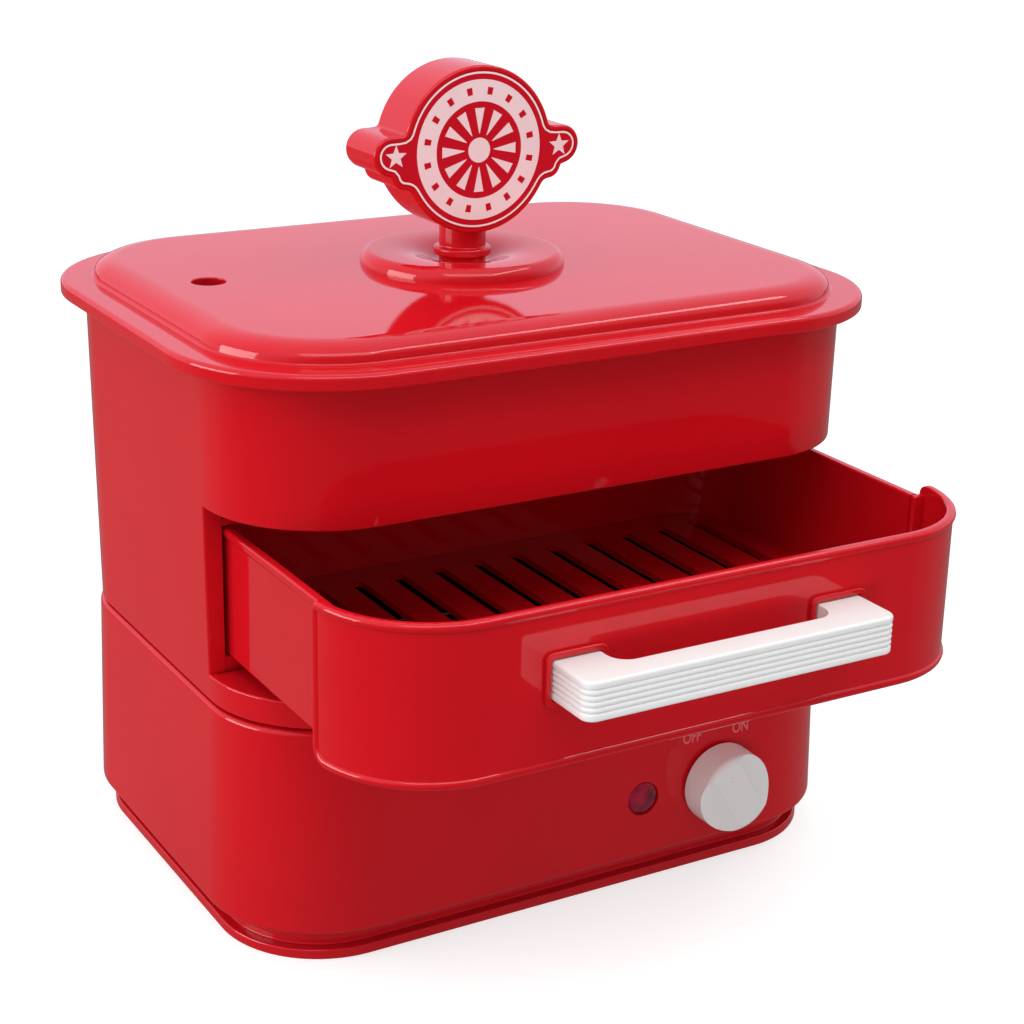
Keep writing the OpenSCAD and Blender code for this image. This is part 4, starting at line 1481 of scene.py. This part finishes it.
@dataclass
class Drawer:
    """The drawer: a panel that wraps round both front corners, its box and its handle."""

    plan: RoundedPlan = RoundedPlan(108.8, 80.6, 35.8)
    out: float = 69.0
    low_z: float = 89.2
    top_z: float = 138.6
    wall: float = 2.4
    bead_r: float = 1.5
    low_round: float = 6.0
    top_round: float = 3.2
    box_x: float = 104.6
    box_low_z: float = 93.8
    box_top_z: float = 135.6
    box_back_y: float = 71.1
    box_back_r: float = 22.0
    handle_z: float = 116.8
    handle_x: float = 45.6
    box_front_y: float = -44.95
    end_x: Flat = (102.2, 107.4)
    end_front_y: float = -47.3
    floor_t: float = 2.2
    slots: int = 13
    slot: Flat = (5.0, 118.0)
    slot_aside: float = 14.0
    slot_back: float = 12.0
    rim_out: float = 0.8
    rim_down: Flat = (3.2, 2.4)
    border_in: float = 0.7
    tool_x: float = 95.0
    tool_t: float = 20.0
    tool_past: float = 3.0
    seat_t: float = 2.0
    seat_sunk: float = 0.6
    seat_outer: Corner = (10.2, 8.3, 2.6)
    seat_inner: Corner = (8.2, 6.3, 1.0)

    def build(self) -> None:
        """Builds the drawer, its handle and its screws' finish."""
        drawer = self.panel()
        drawer.join(self.border(), self.box(), self.floor(), *self.ends(), *self.seats())
        drawer.move(Matrix.Translation((0, -self.out, 0)))
        drawer.finish("drawer", Finishes.red, "red_shell", "drawer")
        Handle(centre=(0, -self.plan.half_d - self.out, self.handle_z)).build()
        Finishes.zinc.dress("handle_screws")

    def panel(self) -> Workpiece:
        """Builds the wrap-round panel with its round lower corners.

        Returns:
            The panel.
        """
        profile = fillet(
            [
                (0, self.low_z, 0.8),
                (0, self.top_z, 0.8),
                (-self.wall, self.top_z, 0.9),
                (-self.wall, self.low_z, 0.5),
            ]
        )
        panel = self.plan.front("drawer_look", profile)
        end = -self.plan.inner()[1]
        corners = (
            (self.low_z, 1, self.low_round),
            (self.top_z, -1, self.top_round),
        )
        for z, up, radius in corners:
            start, stop, past = end - radius, end + self.tool_past, z - up * self.tool_past
            edge = [(start, z), (start, past), (stop, past), (stop, z + up * radius)]
            arc = [
                (
                    end - radius + radius * math.cos(math.radians(a)),
                    z + up * (radius - radius * math.sin(math.radians(a))),
                )
                for a in range(0, 90, 10)
            ]
            for side in (-1, 1):
                line = [(side * self.tool_x, y, height) for y, height in edge + arc]
                panel.cut(Workpiece.line("corner_tool", line).extrude((side * self.tool_t, 0, 0)))
        return panel

    def edge_line(self, inset: float) -> list[Point]:
        """Follows the panel's edge all round.

        Args:
            inset: How far the line stays inside the panel's outline and inside its face.

        Returns:
            Points on a closed line.
        """
        x, y = self.plan.inner()
        radius = self.plan.corner_r - self.border_in
        steps = 14

        def on_face(along: float, z: float) -> Point:
            """Places a point by its distance from the panel's end and its height."""
            angle = along / radius
            return x + radius * math.cos(angle), -y - radius * math.sin(angle), z

        quarter = radius * math.pi / 2
        line: list[Point] = []
        for z, up, round_r in ((self.top_z, -1, self.top_round), (self.low_z, 1, self.low_round)):
            bend = round_r - inset
            length = quarter - inset - bend
            right = [on_face(quarter - length * k / steps, z + up * inset) for k in range(steps + 1)]
            curl = [
                on_face(
                    inset + bend - bend * math.sin(math.radians(a)),
                    z + up * (inset + bend - bend * math.cos(math.radians(a))),
                )
                for a in range(15, 91, 15)
            ]
            line += (right + curl) if up < 0 else (right + curl)[::-1]
        mirrored = [(-px, py, pz) for px, py, pz in reversed(line)]
        return line + mirrored

    def border(self) -> Workpiece:
        """Builds the rounded bead all round the panel's edge.

        Returns:
            The bead.
        """
        return Workpiece.bar_along("border", self.edge_line(self.bead_r), self.bead_r, closed=True)

    def box(self) -> Workpiece:
        """Builds the box's side and rear walls with their top bead.

        Returns:
            The walls.
        """
        profile = fillet(
            [
                (0, self.box_low_z, 0.8),
                (0, self.box_top_z - self.rim_down[0], 0.6),
                (self.rim_out, self.box_top_z - self.rim_down[1], 0.6),
                (self.rim_out, self.box_top_z, 1.0),
                (-self.wall, self.box_top_z, 0.9),
                (-self.wall, self.box_low_z, 0.3),
            ]
        )
        x, y = self.box_x - self.box_back_r, self.box_back_y - self.box_back_r
        run = y - self.box_front_y
        walls = Workpiece.line("box", [(self.box_x + out, self.box_front_y, z) for out, z in profile])
        walls.sweep(
            [
                Pull((0, run, 0)),
                Turn((x, y), 90),
                Pull((-2 * x, 0, 0)),
                Turn((-x, y), 90),
                Pull((0, -run, 0)),
            ]
        )
        return walls.close()

    def ends(self) -> list[Workpiece]:
        """Builds the short cross walls between the box's sides and the panel's ends.

        Returns:
            The two walls.
        """
        walls = []
        for side in (-1, 1):
            near, far = sorted(side * x for x in self.end_x)
            low, high = (near, self.end_front_y, self.low_z + 1), (far, self.box_front_y, self.box_top_z)
            walls.append(Workpiece.block("end_wall", low, high).soften(0.8, 3))
        return walls

    def floor(self) -> Workpiece:
        """Builds the slotted floor.

        Returns:
            The floor.
        """
        x, y = self.plan.inner()
        radius = self.plan.corner_r - 1
        arc = [math.radians(a) for a in range(0, 91, 6)]
        right = [(x + radius * math.cos(a), -y - radius * math.sin(a)) for a in arc]
        bx, by = self.box_x - self.box_back_r, self.box_back_y - self.box_back_r
        back_r = self.box_back_r - 1
        rear = [(bx + back_r * math.cos(a), by + back_r * math.sin(a)) for a in arc]
        half = list(reversed(rear)) + [(self.box_x - 1, -y - 2)] + right
        line = half + [(-px, py) for px, py in reversed(half)]
        outline = [(px, py, self.box_low_z) for px, py in line]
        floor = Workpiece.line("floor", outline).extrude((0, 0, self.floor_t))
        half_w, length = self.slot[0] / 2, self.slot[1]
        first = self.slot_aside - self.box_x
        pitch = -2 * first / (self.slots - 1)
        last = self.box_back_y - self.slot_back
        low = (first - half_w, last - length, self.box_low_z - 1)
        high = (first + half_w, last, self.box_low_z + self.floor_t + 1.2)
        slot = Workpiece.block("slot", low, high).bevel(half_w - 0.1, 6, is_upright)
        return floor.cut(*slot.row(self.slots, pitch))

    def seats(self) -> list[Workpiece]:
        """Builds the raised frames round the handle's two feet.

        Returns:
            The two frames.
        """
        rings = []
        for half_w, half_h, radius in (self.seat_outer, self.seat_inner):
            right = [(half_w, -half_h, radius), (half_w, half_h, radius)]
            left = [(-half_w, half_h, radius), (-half_w, -half_h, radius)]
            rings.append(fillet(right + left, step=15))
        back_y = self.seat_sunk - self.plan.half_d
        frames = []
        for side in (-1, 1):
            centre = side * self.handle_x
            solids = []
            for ring, thick in zip(rings, (self.seat_t, 2 * self.seat_t)):
                line = [(centre + px, back_y, self.handle_z + pz) for px, pz in ring]
                solids.append(Workpiece.line("seat", line).extrude((0, -thick, 0)))
            frames.append(solids[0].cut(solids[1]).soften(0.5, 3, 50))
        return frames


@dataclass
class Handle:
    """The drawer's white handle with ribs along its outer faces."""

    centre: Point
    half_w: float = 53.5
    half_h: float = 6.0
    reach: float = 19.0
    corner_r: float = 4.0
    foot_w: float = 15.8
    bar_t: float = 9.4
    hollow_r: float = 6.0
    ribs: int = 6
    rib_depth: float = 0.75
    rib_margin: float = 0.75
    rib_roundness: float = 0.96
    rib_steps: int = 8
    edge: float = 0.9
    edge_curve: tuple[Flat, Flat] = ((0.42, 0.12), (0.12, 0.42))
    inner_edge: float = 0.7
    inner_curve: float = 0.2

    def build(self) -> None:
        """Builds the handle."""
        _, back_y, middle_z = self.centre
        gap = self.half_w - self.foot_w
        depth = self.reach - self.bar_t
        ribbed, smooth = self.rib_profile(), self.gap_profile()
        handle = self.sweep("drawer_handle_look", ribbed, self.half_w, self.reach, self.corner_r, 10)
        handle.join(self.sweep("inner_face", smooth, gap, depth, self.hollow_r, 12))
        top, low = middle_z + self.half_h, middle_z - self.half_h
        for side in (-1, 1):
            for z in (top, low):
                outside = (side * (self.half_w - self.edge), back_y, z)
                handle.link(outside, (side * (gap + self.inner_edge), back_y, z))
        for z in (top, low):
            handle.fill(lambda a, b, z=z: max(abs(a.z - z), abs(b.z - z)) < NEAR)
        for side in (-1, 1):
            handle.fill(
                lambda a, b, side=side: max(abs(a.y - back_y), abs(b.y - back_y)) < NEAR and a.x * side > 0
            )
        handle.face_out()
        handle.finish("drawer", Finishes.white, "white_plastic", "drawer_handle")

    def rib_profile(self) -> list[Flat]:
        """Works out the ribbed face.

        Returns:
            Pairs of distance out and height.
        """
        h = self.half_h
        points = [(-self.edge, -h), *((-away, -h + up) for away, up in self.edge_curve)]
        low, high = -h + self.rib_margin, h - self.rib_margin
        pitch = (high - low) / self.ribs
        for rib in range(self.ribs):
            for k in range(0 if rib == 0 else 1, self.rib_steps + 1):
                share = k / self.rib_steps
                bulge = math.sqrt(max(0.0, 1 - (2 * share - 1) ** 2 * self.rib_roundness))
                flat_end = (rib == 0 and share < 0.5) or (rib == self.ribs - 1 and share > 0.5)
                depth = 0.0 if flat_end else self.rib_depth * (1 - bulge)
                points.append((-depth, low + (rib + share) * pitch))
        return points + [(-away, h - up) for away, up in reversed(self.edge_curve)] + [(-self.edge, h)]

    def gap_profile(self) -> list[Flat]:
        """Works out the smooth face round the finger gap.

        Returns:
            Pairs of distance out and height.
        """
        h, edge, curve = self.half_h, self.inner_edge, self.inner_curve
        low = [(edge, -h), (curve, -h + curve), (0, -h + edge)]
        return low + [(0, h - edge), (curve, h - curve), (edge, h)]

    def sweep(
        self, name: str, profile: list[Flat], half_w: float, depth: float, radius: float, steps: int
    ) -> Workpiece:
        """Sweeps a face from the panel along one end, the front and the other end.

        Args:
            name: The face's name.
            profile: Pairs of distance out and height.
            half_w: Half the width that it spans.
            depth: How far it reaches from the panel.
            radius: The radius of its two corners.
            steps: Faces round each of them.

        Returns:
            The swept face.
        """
        _, y, z = self.centre
        x, run = half_w - radius, depth - radius
        line = [(half_w + out, y, z + height) for out, height in profile]
        face = Workpiece.line(name, line, closed=False)
        return face.sweep(
            [
                Pull((0, -run, 0)),
                Turn((x, y - run), -90, steps),
                Pull((-2 * x, 0, 0)),
                Turn((-x, y - run), -90, steps),
                Pull((0, run, 0)),
            ]
        )


@dataclass
class Lid:
    """The lid with its flange, raised top, dished boss and vent."""

    plan: RoundedPlan = RoundedPlan(121.2, 93, 51.2, 32)
    low_z: float = 187.7
    shelf_z: float = 192.6
    top_z: float = 198.5
    vent: Flat = (-86.7, 8.3)
    vent_r: float = 5.5
    vent_tool_z: Flat = (190.0, 205.0)
    boss_r: float = 34.0
    ridge_r: float = 30.6
    boss_h: float = 4.4
    seat_r: float = 9.0
    seat_up: float = 0.25
    boss_low_z: float = 197.4
    roll: Flat = (8.7, 4.6)
    roll_in: float = 10.9
    wall: float = 2.4
    flat_in: float = 44.0
    groove_in: float = 6.3
    groove_z: float = 190.0
    skirt_in: Flat = (11.7, 13.7)
    skirt_z: float = 183.1
    under_in: float = 18.6
    under_z: float = 195.9

    def build(self) -> None:
        """Builds the lid."""
        across, high = self.roll
        roll = []
        for degrees in range(82, 0, -8):
            angle = math.radians(degrees)
            inset = self.roll_in + across * (1 - math.cos(angle))
            roll.append((-inset, self.top_z - high * (1 - math.sin(angle))))
        profile = [(-self.flat_in, self.top_z), (-self.roll_in - across, self.top_z), *roll]
        profile += fillet(
            [
                (-self.roll_in + 0.1, self.top_z - high, 0),
                (-self.roll_in + 0.3, self.shelf_z, 0.9),
                (0, self.shelf_z, 1.6),
                (0, self.low_z, 0.8),
                (-self.wall, self.low_z, 0.3),
                (-self.wall, self.groove_z, 0.3),
                (-self.groove_in, self.groove_z, 0.3),
                (-self.groove_in, self.low_z, 0.3),
                (-self.skirt_in[0], self.low_z, 0.3),
                (-self.skirt_in[0], self.skirt_z, 0.6),
                (-self.skirt_in[1], self.skirt_z, 0.6),
                (-self.skirt_in[1], self.low_z, 0.3),
                (-self.under_in, self.low_z, 0.5),
                (-self.under_in, self.under_z, 1.2),
                (-self.flat_in, self.under_z, 0),
            ],
            closed=False,
        )
        lid = self.plan.ring("lid_look", profile, closed=False).close()
        x, y = self.vent
        low, top = self.vent_tool_z
        lid.cut(Workpiece.rod("vent_tool", self.vent_r, (x, y, low), (x, y, top), 64))
        lid.bevel(0.45, 3, self.on_vent)
        lid.join(self.boss())
        lid.finish("lid", Finishes.red, "red_shell", "lid")

    def on_vent(self, first: Vector, second: Vector) -> bool:
        """Tells whether an edge lies on the vent's upper rim.

        Args:
            first: One end of the edge.
            second: Its other end.

        Returns:
            Whether both ends do.
        """
        x, y = self.vent
        for place in (first, second):
            off_rim = abs(math.hypot(place.x - x, place.y - y) - self.vent_r)
            if abs(place.z - self.top_z) > NEAR or off_rim > 5 * NEAR:
                return False
        return True

    def boss(self) -> Workpiece:
        """Builds the dished boss.

        Returns:
            The boss, which reaches a little into the lid's top.
        """
        seat_z = self.top_z + self.seat_up
        flank = []
        for degrees in range(0, 91, 9):
            angle = math.radians(degrees)
            reach = self.ridge_r + (self.boss_r - self.ridge_r) * math.cos(angle)
            flank.append((reach, self.top_z + self.boss_h * math.sin(angle)))
        run = self.ridge_r - self.seat_r
        rise = self.boss_h - self.seat_up
        shares = [k / 16 for k in range(1, 17)]
        dish = [(self.ridge_r - run * share, seat_z + rise * (1 - share**3)) for share in shares]
        profile = [(0, self.boss_low_z), (self.boss_r, self.boss_low_z), *flank, *dish, (0, seat_z)]
        return Workpiece.lathe("boss", profile, (0, 0, 0), Axis.UP, 128)


@dataclass(frozen=True)
class SignShape:
    """The grip's outline: a disc with arms and shoulders, blended smoothly.

    The arms and the shoulders are bars with round ends, each with its half width, height and radius.
    """

    disc_r: float = 27.0
    arms: Corner = (37.7, -0.1, 6.2)
    shoulders: Corner = (31.0, -6.5, 4.4)
    blend: float = 1.4

    def reach(self, angle: float) -> float:
        """Finds how far the outline is from the middle.

        Args:
            angle: Direction in radians.

        Returns:
            The distance.
        """
        across, up = abs(math.cos(angle)), math.sin(angle)
        found = [self.disc_r]
        for half_w, height, radius in (self.arms, self.shoulders):
            centre = half_w - radius
            along = across * centre + up * height
            gap = radius**2 - (centre**2 + height**2 - along**2)
            if gap > 0 and (along + math.sqrt(gap)) * across >= centre - TINY:
                found.append(along + math.sqrt(gap))
                continue
            level = height + math.copysign(radius, up)
            if abs(up) > TINY and level / up > 0 and level / up * across <= centre:
                found.append(level / up)
        top = max(found)
        return top + self.blend * math.log(sum(math.exp((far - top) / self.blend) for far in found))

    def points(self, inset: float, count: int = 300) -> list[Flat]:
        """Follows the outline.

        Args:
            inset: How far it is moved inwards, the same all round.
            count: How many points it gets.

        Returns:
            Points round the middle.
        """
        turns = [math.tau * k / count for k in range(count)]
        edge = [Vector((self.reach(a) * math.cos(a), self.reach(a) * math.sin(a))) for a in turns]
        moved = []
        for last, here, after in zip(edge[-1:] + edge[:-1], edge, edge[1:] + edge[:1]):
            along = (after - last).normalized()
            moved.append((here.x - along.y * inset, here.y + along.x * inset))
        return moved


@dataclass
class Grip:
    """The upright grip with its printed face, stem and collar."""

    shape: SignShape = SignShape()
    centre_z: float = 236.9
    half_t: float = 10.5
    face_depth: float = 1.2
    rim: float = 1.5
    stem_r: float = 7.8
    collar_r: float = 9.5
    collar_z: Flat = (201.1, 204.0)
    stem_z: Flat = (198.0, 214.0)
    edge_r: float = 0.9
    sheet_t: float = 1.1
    ink_t: float = 0.08
    line_in: Flat = (2.0, 2.6)
    ring_r: Flat = (22.6, 15.6)
    dash_r: Flat = (17.9, 20.3)
    dash_half: Flat = (0.05, 0.05)
    dashes: int = 16
    ray_r: Flat = (5.4, 13.6)
    ray_half: Flat = (0.02, 0.13)
    rays: int = 12
    hub_r: float = 4.0
    star_at: Flat = (30.0, -0.3)
    star_r: Flat = (3.9, 1.638)

    def build(self) -> None:
        """Builds the grip and its printed face."""
        self.body()
        self.face()
        Finishes.zinc.dress("grip_screw")
        Finishes.steel.dress("grip_washer")

    def outline(self, name: str, flat: Sequence[Flat], y: float, thick: float) -> Workpiece:
        """Makes a plate of that outline.

        Args:
            name: The piece's name.
            flat: Points about the sign's middle.
            y: The plate's rear face.
            thick: How far it reaches to the front.

        Returns:
            The plate.
        """
        line = [(px, y, self.centre_z + pz) for px, pz in flat]
        return Workpiece.line(name, line).extrude((0, -thick, 0))

    def body(self) -> None:
        """Builds the sign's body, stem and collar."""
        body = self.outline("sign_grip_look", self.shape.points(0), self.half_t, 2 * self.half_t)
        body.bevel(self.edge_r, 4, lambda a, b: abs(a.y - b.y) < NEAR and abs(abs(a.y) - self.half_t) < NEAR)
        body.cut(self.outline("recess", self.shape.points(self.rim), -self.half_t + self.face_depth, 4))
        low, high = self.collar_z
        r, cr = self.stem_r, self.collar_r
        stem = fillet(
            [
                (0, self.stem_z[0], 0),
                (r, self.stem_z[0], 0),
                (r, low, 0.4),
                (cr, low, 0.8),
                (cr, high, 0.9),
                (r, high, 0.5),
                (r, self.stem_z[1], 0),
                (0, self.stem_z[1], 0),
            ],
            closed=False,
        )
        body.join(Workpiece.lathe("stem", stem, (0, 0, 0), Axis.UP, 72))
        body.finish("lid", Finishes.red, "red_shell", "sign_grip")

    def face(self) -> None:
        """Builds the sheet let into the grip's front and prints a generic wheel of rays on it."""
        back = self.face_depth - self.half_t
        sheet = self.outline("sign_face_look", self.shape.points(self.rim + 0.1), back, self.sheet_t)
        sheet.finish("lid", Finishes.print_red, "sign_print", "sign_face")
        y = back - self.sheet_t + 0.04
        outer, inner = (self.shape.points(inset) for inset in self.line_in)
        edge = self.outline("sign_line", outer, y, self.ink_t - 0.01)
        edge.cut(self.outline("line_tool", inner, y + 1, 3))
        self.ink(edge, Finishes.print_white)
        ring = self.outline("sign_ring", self.circle(self.ring_r[0]), y, self.ink_t)
        ring.cut(self.outline("ring_tool", self.circle(self.ring_r[1]), y + 1, 3))
        self.ink(ring, Finishes.print_pink)
        dash = self.wedge(math.pi / self.dashes, self.dash_r, self.dash_half)
        self.around(self.outline("sign_dash_0", dash, y, self.ink_t + 0.02), self.dashes, Finishes.print_red)
        ray = self.wedge(0, self.ray_r, self.ray_half)
        self.around(self.outline("sign_ray_0", ray, y, self.ink_t), self.rays, Finishes.print_pink)
        self.ink(self.outline("sign_hub", self.circle(self.hub_r), y, self.ink_t), Finishes.print_pink)
        left = self.outline("sign_star_left", self.star(-1), y, self.ink_t)
        right = left.copy("sign_star_right", Matrix.Translation((2 * self.star_at[0], 0, 0)))
        for star in (left, right):
            self.ink(star, Finishes.print_pink)

    def around(self, first: Workpiece, count: int, finish: Finish) -> None:
        """Repeats a printed shape round the sign's middle.

        Args:
            first: The shape, with a name that ends in 0.
            count: How many there are in all.
            finish: The ink.
        """
        middle = Matrix.Translation((0, 0, self.centre_z))
        shapes = [first]
        for index in range(1, count):
            turn = Matrix.Rotation(-math.tau * index / count, 4, "Y")
            name = first.obj.name.replace("_0", f"_{index}")
            shapes.append(first.copy(name, middle @ turn @ middle.inverted()))
        for shape in shapes:
            self.ink(shape, finish)

    def ink(self, piece: Workpiece, finish: Finish) -> None:
        """Finishes one printed shape."""
        piece.finish("lid", finish, "sign_print")

    def circle(self, radius: float) -> list[Flat]:
        """Returns a circle about the sign's middle."""
        turns = [math.radians(degrees) for degrees in range(0, 360, 4)]
        return [(radius * math.cos(angle), radius * math.sin(angle)) for angle in turns]

    def wedge(self, angle: float, radii: Flat, halves: Flat) -> list[Flat]:
        """Draws a bar that points away from the sign's middle.

        Args:
            angle: Its direction in radians.
            radii: Where it begins and ends.
            halves: Half its width there in radians.

        Returns:
            Its corners.
        """
        (near, far), (near_half, far_half) = radii, halves
        ends = ((near, -near_half), (far, -far_half), (far, far_half), (near, near_half))
        return [(r * math.cos(angle + aside), r * math.sin(angle + aside)) for r, aside in ends]

    def star(self, side: int) -> list[Flat]:
        """Draws a five-pointed star on one of the arms.

        Args:
            side: -1 for the left arm, 1 for the right one.

        Returns:
            Its corners.
        """
        x, z = self.star_at
        points = []
        for k in range(10):
            reach = self.star_r[k % 2]
            angle = math.pi / 2 + math.tau * k / 10
            points.append((side * x + reach * math.cos(angle), z + reach * math.sin(angle)))
        return points


@dataclass
class BunTray:
    """The tray that hangs in the housing's top."""

    def build(self) -> None:
        """Paints the tray."""
        Finishes.tray_red.dress("bun_tray")


# The studio


@dataclass(frozen=True)
class SoftBox:
    """A soft lamp, with its size in metres and its power in watts."""

    name: str
    place: Point
    aim: Point
    size: Flat
    power: float
    mirrored: bool = True

    def hang(self) -> None:
        """Hangs the lamp and points it."""
        data = bpy.data.lights.new(self.name, "AREA")
        data.shape = "RECTANGLE"
        data.size, data.size_y = self.size
        data.energy = self.power
        lamp = bpy.data.objects.new(self.name, data)
        bpy.context.scene.collection.objects.link(lamp)
        lamp.location = self.place
        lamp.rotation_euler = (Vector(self.aim) - Vector(self.place)).to_track_quat("-Z", "Y").to_euler()
        lamp.visible_glossy = self.mirrored


@dataclass
class Studio:
    """Pale floor, soft light and the camera at the picture's angle, in metres and degrees."""

    yaw: float = -30.5512
    pitch: float = 19.4262
    roll: float = 1.2326
    target: Point = (0.0216, 0.0005, 0.10649)
    distance: float = 0.7465
    lens: float = 74.71
    sensor_w: float = 36.0
    towards: Point = (-0.508, -0.861, 0)
    world_front: Point = (0, -1, -0.7)
    world_wash: Flat = (0.95, 0.42)
    world_shine: Color = (1.0, 0.76, 0.92, 1.0)
    world_calm: float = 0.12
    floor_r: float = 9.0
    floor_cloth: Flat = (0.48, 0.52)
    floor_bounce: Flat = (0.62, 0.3)
    floor_mirror: Flat = (0.21, 0.08)
    floor_glow: float = 0.68
    boxes: tuple[SoftBox, ...] = (
        SoftBox("key", (-0.15, -0.5, 0.85), (0, -0.05, 0.15), (0.75, 0.3), 1.45),
        SoftBox("left", (-1.05, 0.2, 0.4), (0, 0, 0.1), (0.7, 0.5), 5.2),
        SoftBox("top", (0.45, -0.35, 0.95), (0, 0, 0.19), (0.8, 0.12), 1.4),
        SoftBox("fill", (-0.2, -0.72, 0.05), (0.06, -0.1, 0.05), (0.3, 0.1), 0.8, mirrored=False),
    )

    def build(self) -> None:
        """Builds the whole studio."""
        self.camera()
        self.floor()
        self.world()
        for box in self.boxes:
            box.hang()
        bpy.context.scene.view_settings.view_transform = "Standard"

    def camera(self) -> None:
        """Places the camera."""
        a, e, t = (math.radians(value) for value in (self.yaw, self.pitch, self.roll))
        back = Vector((math.sin(a) * math.cos(e), -math.cos(a) * math.cos(e), math.sin(e)))
        right = Vector((math.cos(a), math.sin(a), 0))
        up = back.cross(right)
        level = math.cos(t) * right + math.sin(t) * up
        upright = -math.sin(t) * right + math.cos(t) * up
        data = bpy.data.cameras.new("camera")
        data.lens = self.lens
        data.sensor_width = self.sensor_w
        data.clip_start, data.clip_end = 0.01, 50
        camera = bpy.data.objects.new("camera", data)
        bpy.context.scene.collection.objects.link(camera)
        turn = Matrix((level, upright, back)).transposed().to_4x4()
        camera.matrix_world = Matrix.Translation(Vector(self.target) + back * self.distance) @ turn
        bpy.context.scene.camera = camera

    def floor(self) -> None:
        """Lays the floor, which looks white, keeps a soft shadow and is calmer in mirrors."""
        bpy.ops.mesh.primitive_circle_add(vertices=96, radius=self.floor_r, fill_type="NGON")
        floor = bpy.context.object
        floor.name = "floor"
        material = bpy.data.materials.new("floor_white")
        material.use_nodes = True
        sheet = NodeSheet(material.node_tree)
        where = sheet.place()
        forward = sheet.ahead(where, self.towards)
        seen, mirrored = sheet.rays()
        cloth = sheet.span(sheet.noise(where, 3, 3), *self.floor_cloth)
        bounce = sheet.span(forward, *self.floor_bounce, -0.1, 0.3)
        matte = sheet.mix(mirrored, sheet.mix(seen, bounce, cloth), BLACK)
        mirror = sheet.span(forward, *self.floor_mirror, 0.0, 0.3)
        glow = sheet.mix(mirrored, sheet.mix(seen, BLACK, grey(self.floor_glow)), mirror)
        surface = sheet.add("ShaderNodeAddShader")
        sheet.plug(sheet.add("ShaderNodeBsdfDiffuse", Color=matte).outputs[0], surface.inputs[0])
        sheet.plug(sheet.add("ShaderNodeEmission", Color=glow, Strength=1.0).outputs[0], surface.inputs[1])
        sheet.add("ShaderNodeOutputMaterial", Surface=surface.outputs[0])
        floor.data.materials.append(material)

    def world(self) -> None:
        """Lights the studio all round, white behind and calmer in front."""
        world = bpy.data.worlds.new("studio")
        world.use_nodes = True
        bpy.context.scene.world = world
        sheet = NodeSheet(world.node_tree)
        seen, mirrored = sheet.rays()
        way = sheet.add("ShaderNodeTexCoord").outputs["Generated"]
        forward = sheet.ahead(way, self.world_front)
        behind, ahead = (grey(level) for level in self.world_wash)
        wash = sheet.mix(sheet.span(forward, 0, 1, -0.4, 0.4), behind, ahead)
        shine = sheet.mix(sheet.span(forward, 0, 1, 0.0, 0.6), self.world_shine, grey(self.world_calm))
        color = sheet.mix(seen, sheet.mix(mirrored, wash, shine), WHITE)
        light = sheet.add("ShaderNodeBackground", Color=color, Strength=1.0)
        sheet.add("ShaderNodeOutputWorld", Surface=light.outputs[0])


def corners(box: tuple[Vector, Vector]) -> list[list[float]]:
    """Returns a box as plain lists."""
    return [list(box[0]), list(box[1])]


def main() -> None:
    """Builds the steamer and its studio, logging each piece's face count and each part as it is built."""
    logging.basicConfig(level=logging.INFO, format="%(message)s")
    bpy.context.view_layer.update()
    for part in (Base(), Knob(), Housing(), Drawer(), Lid(), Grip(), BunTray()):
        part.build()
        LOG.info("built %s", type(part).__name__)
    Studio().build()


if __name__ == "__main__":
    main()
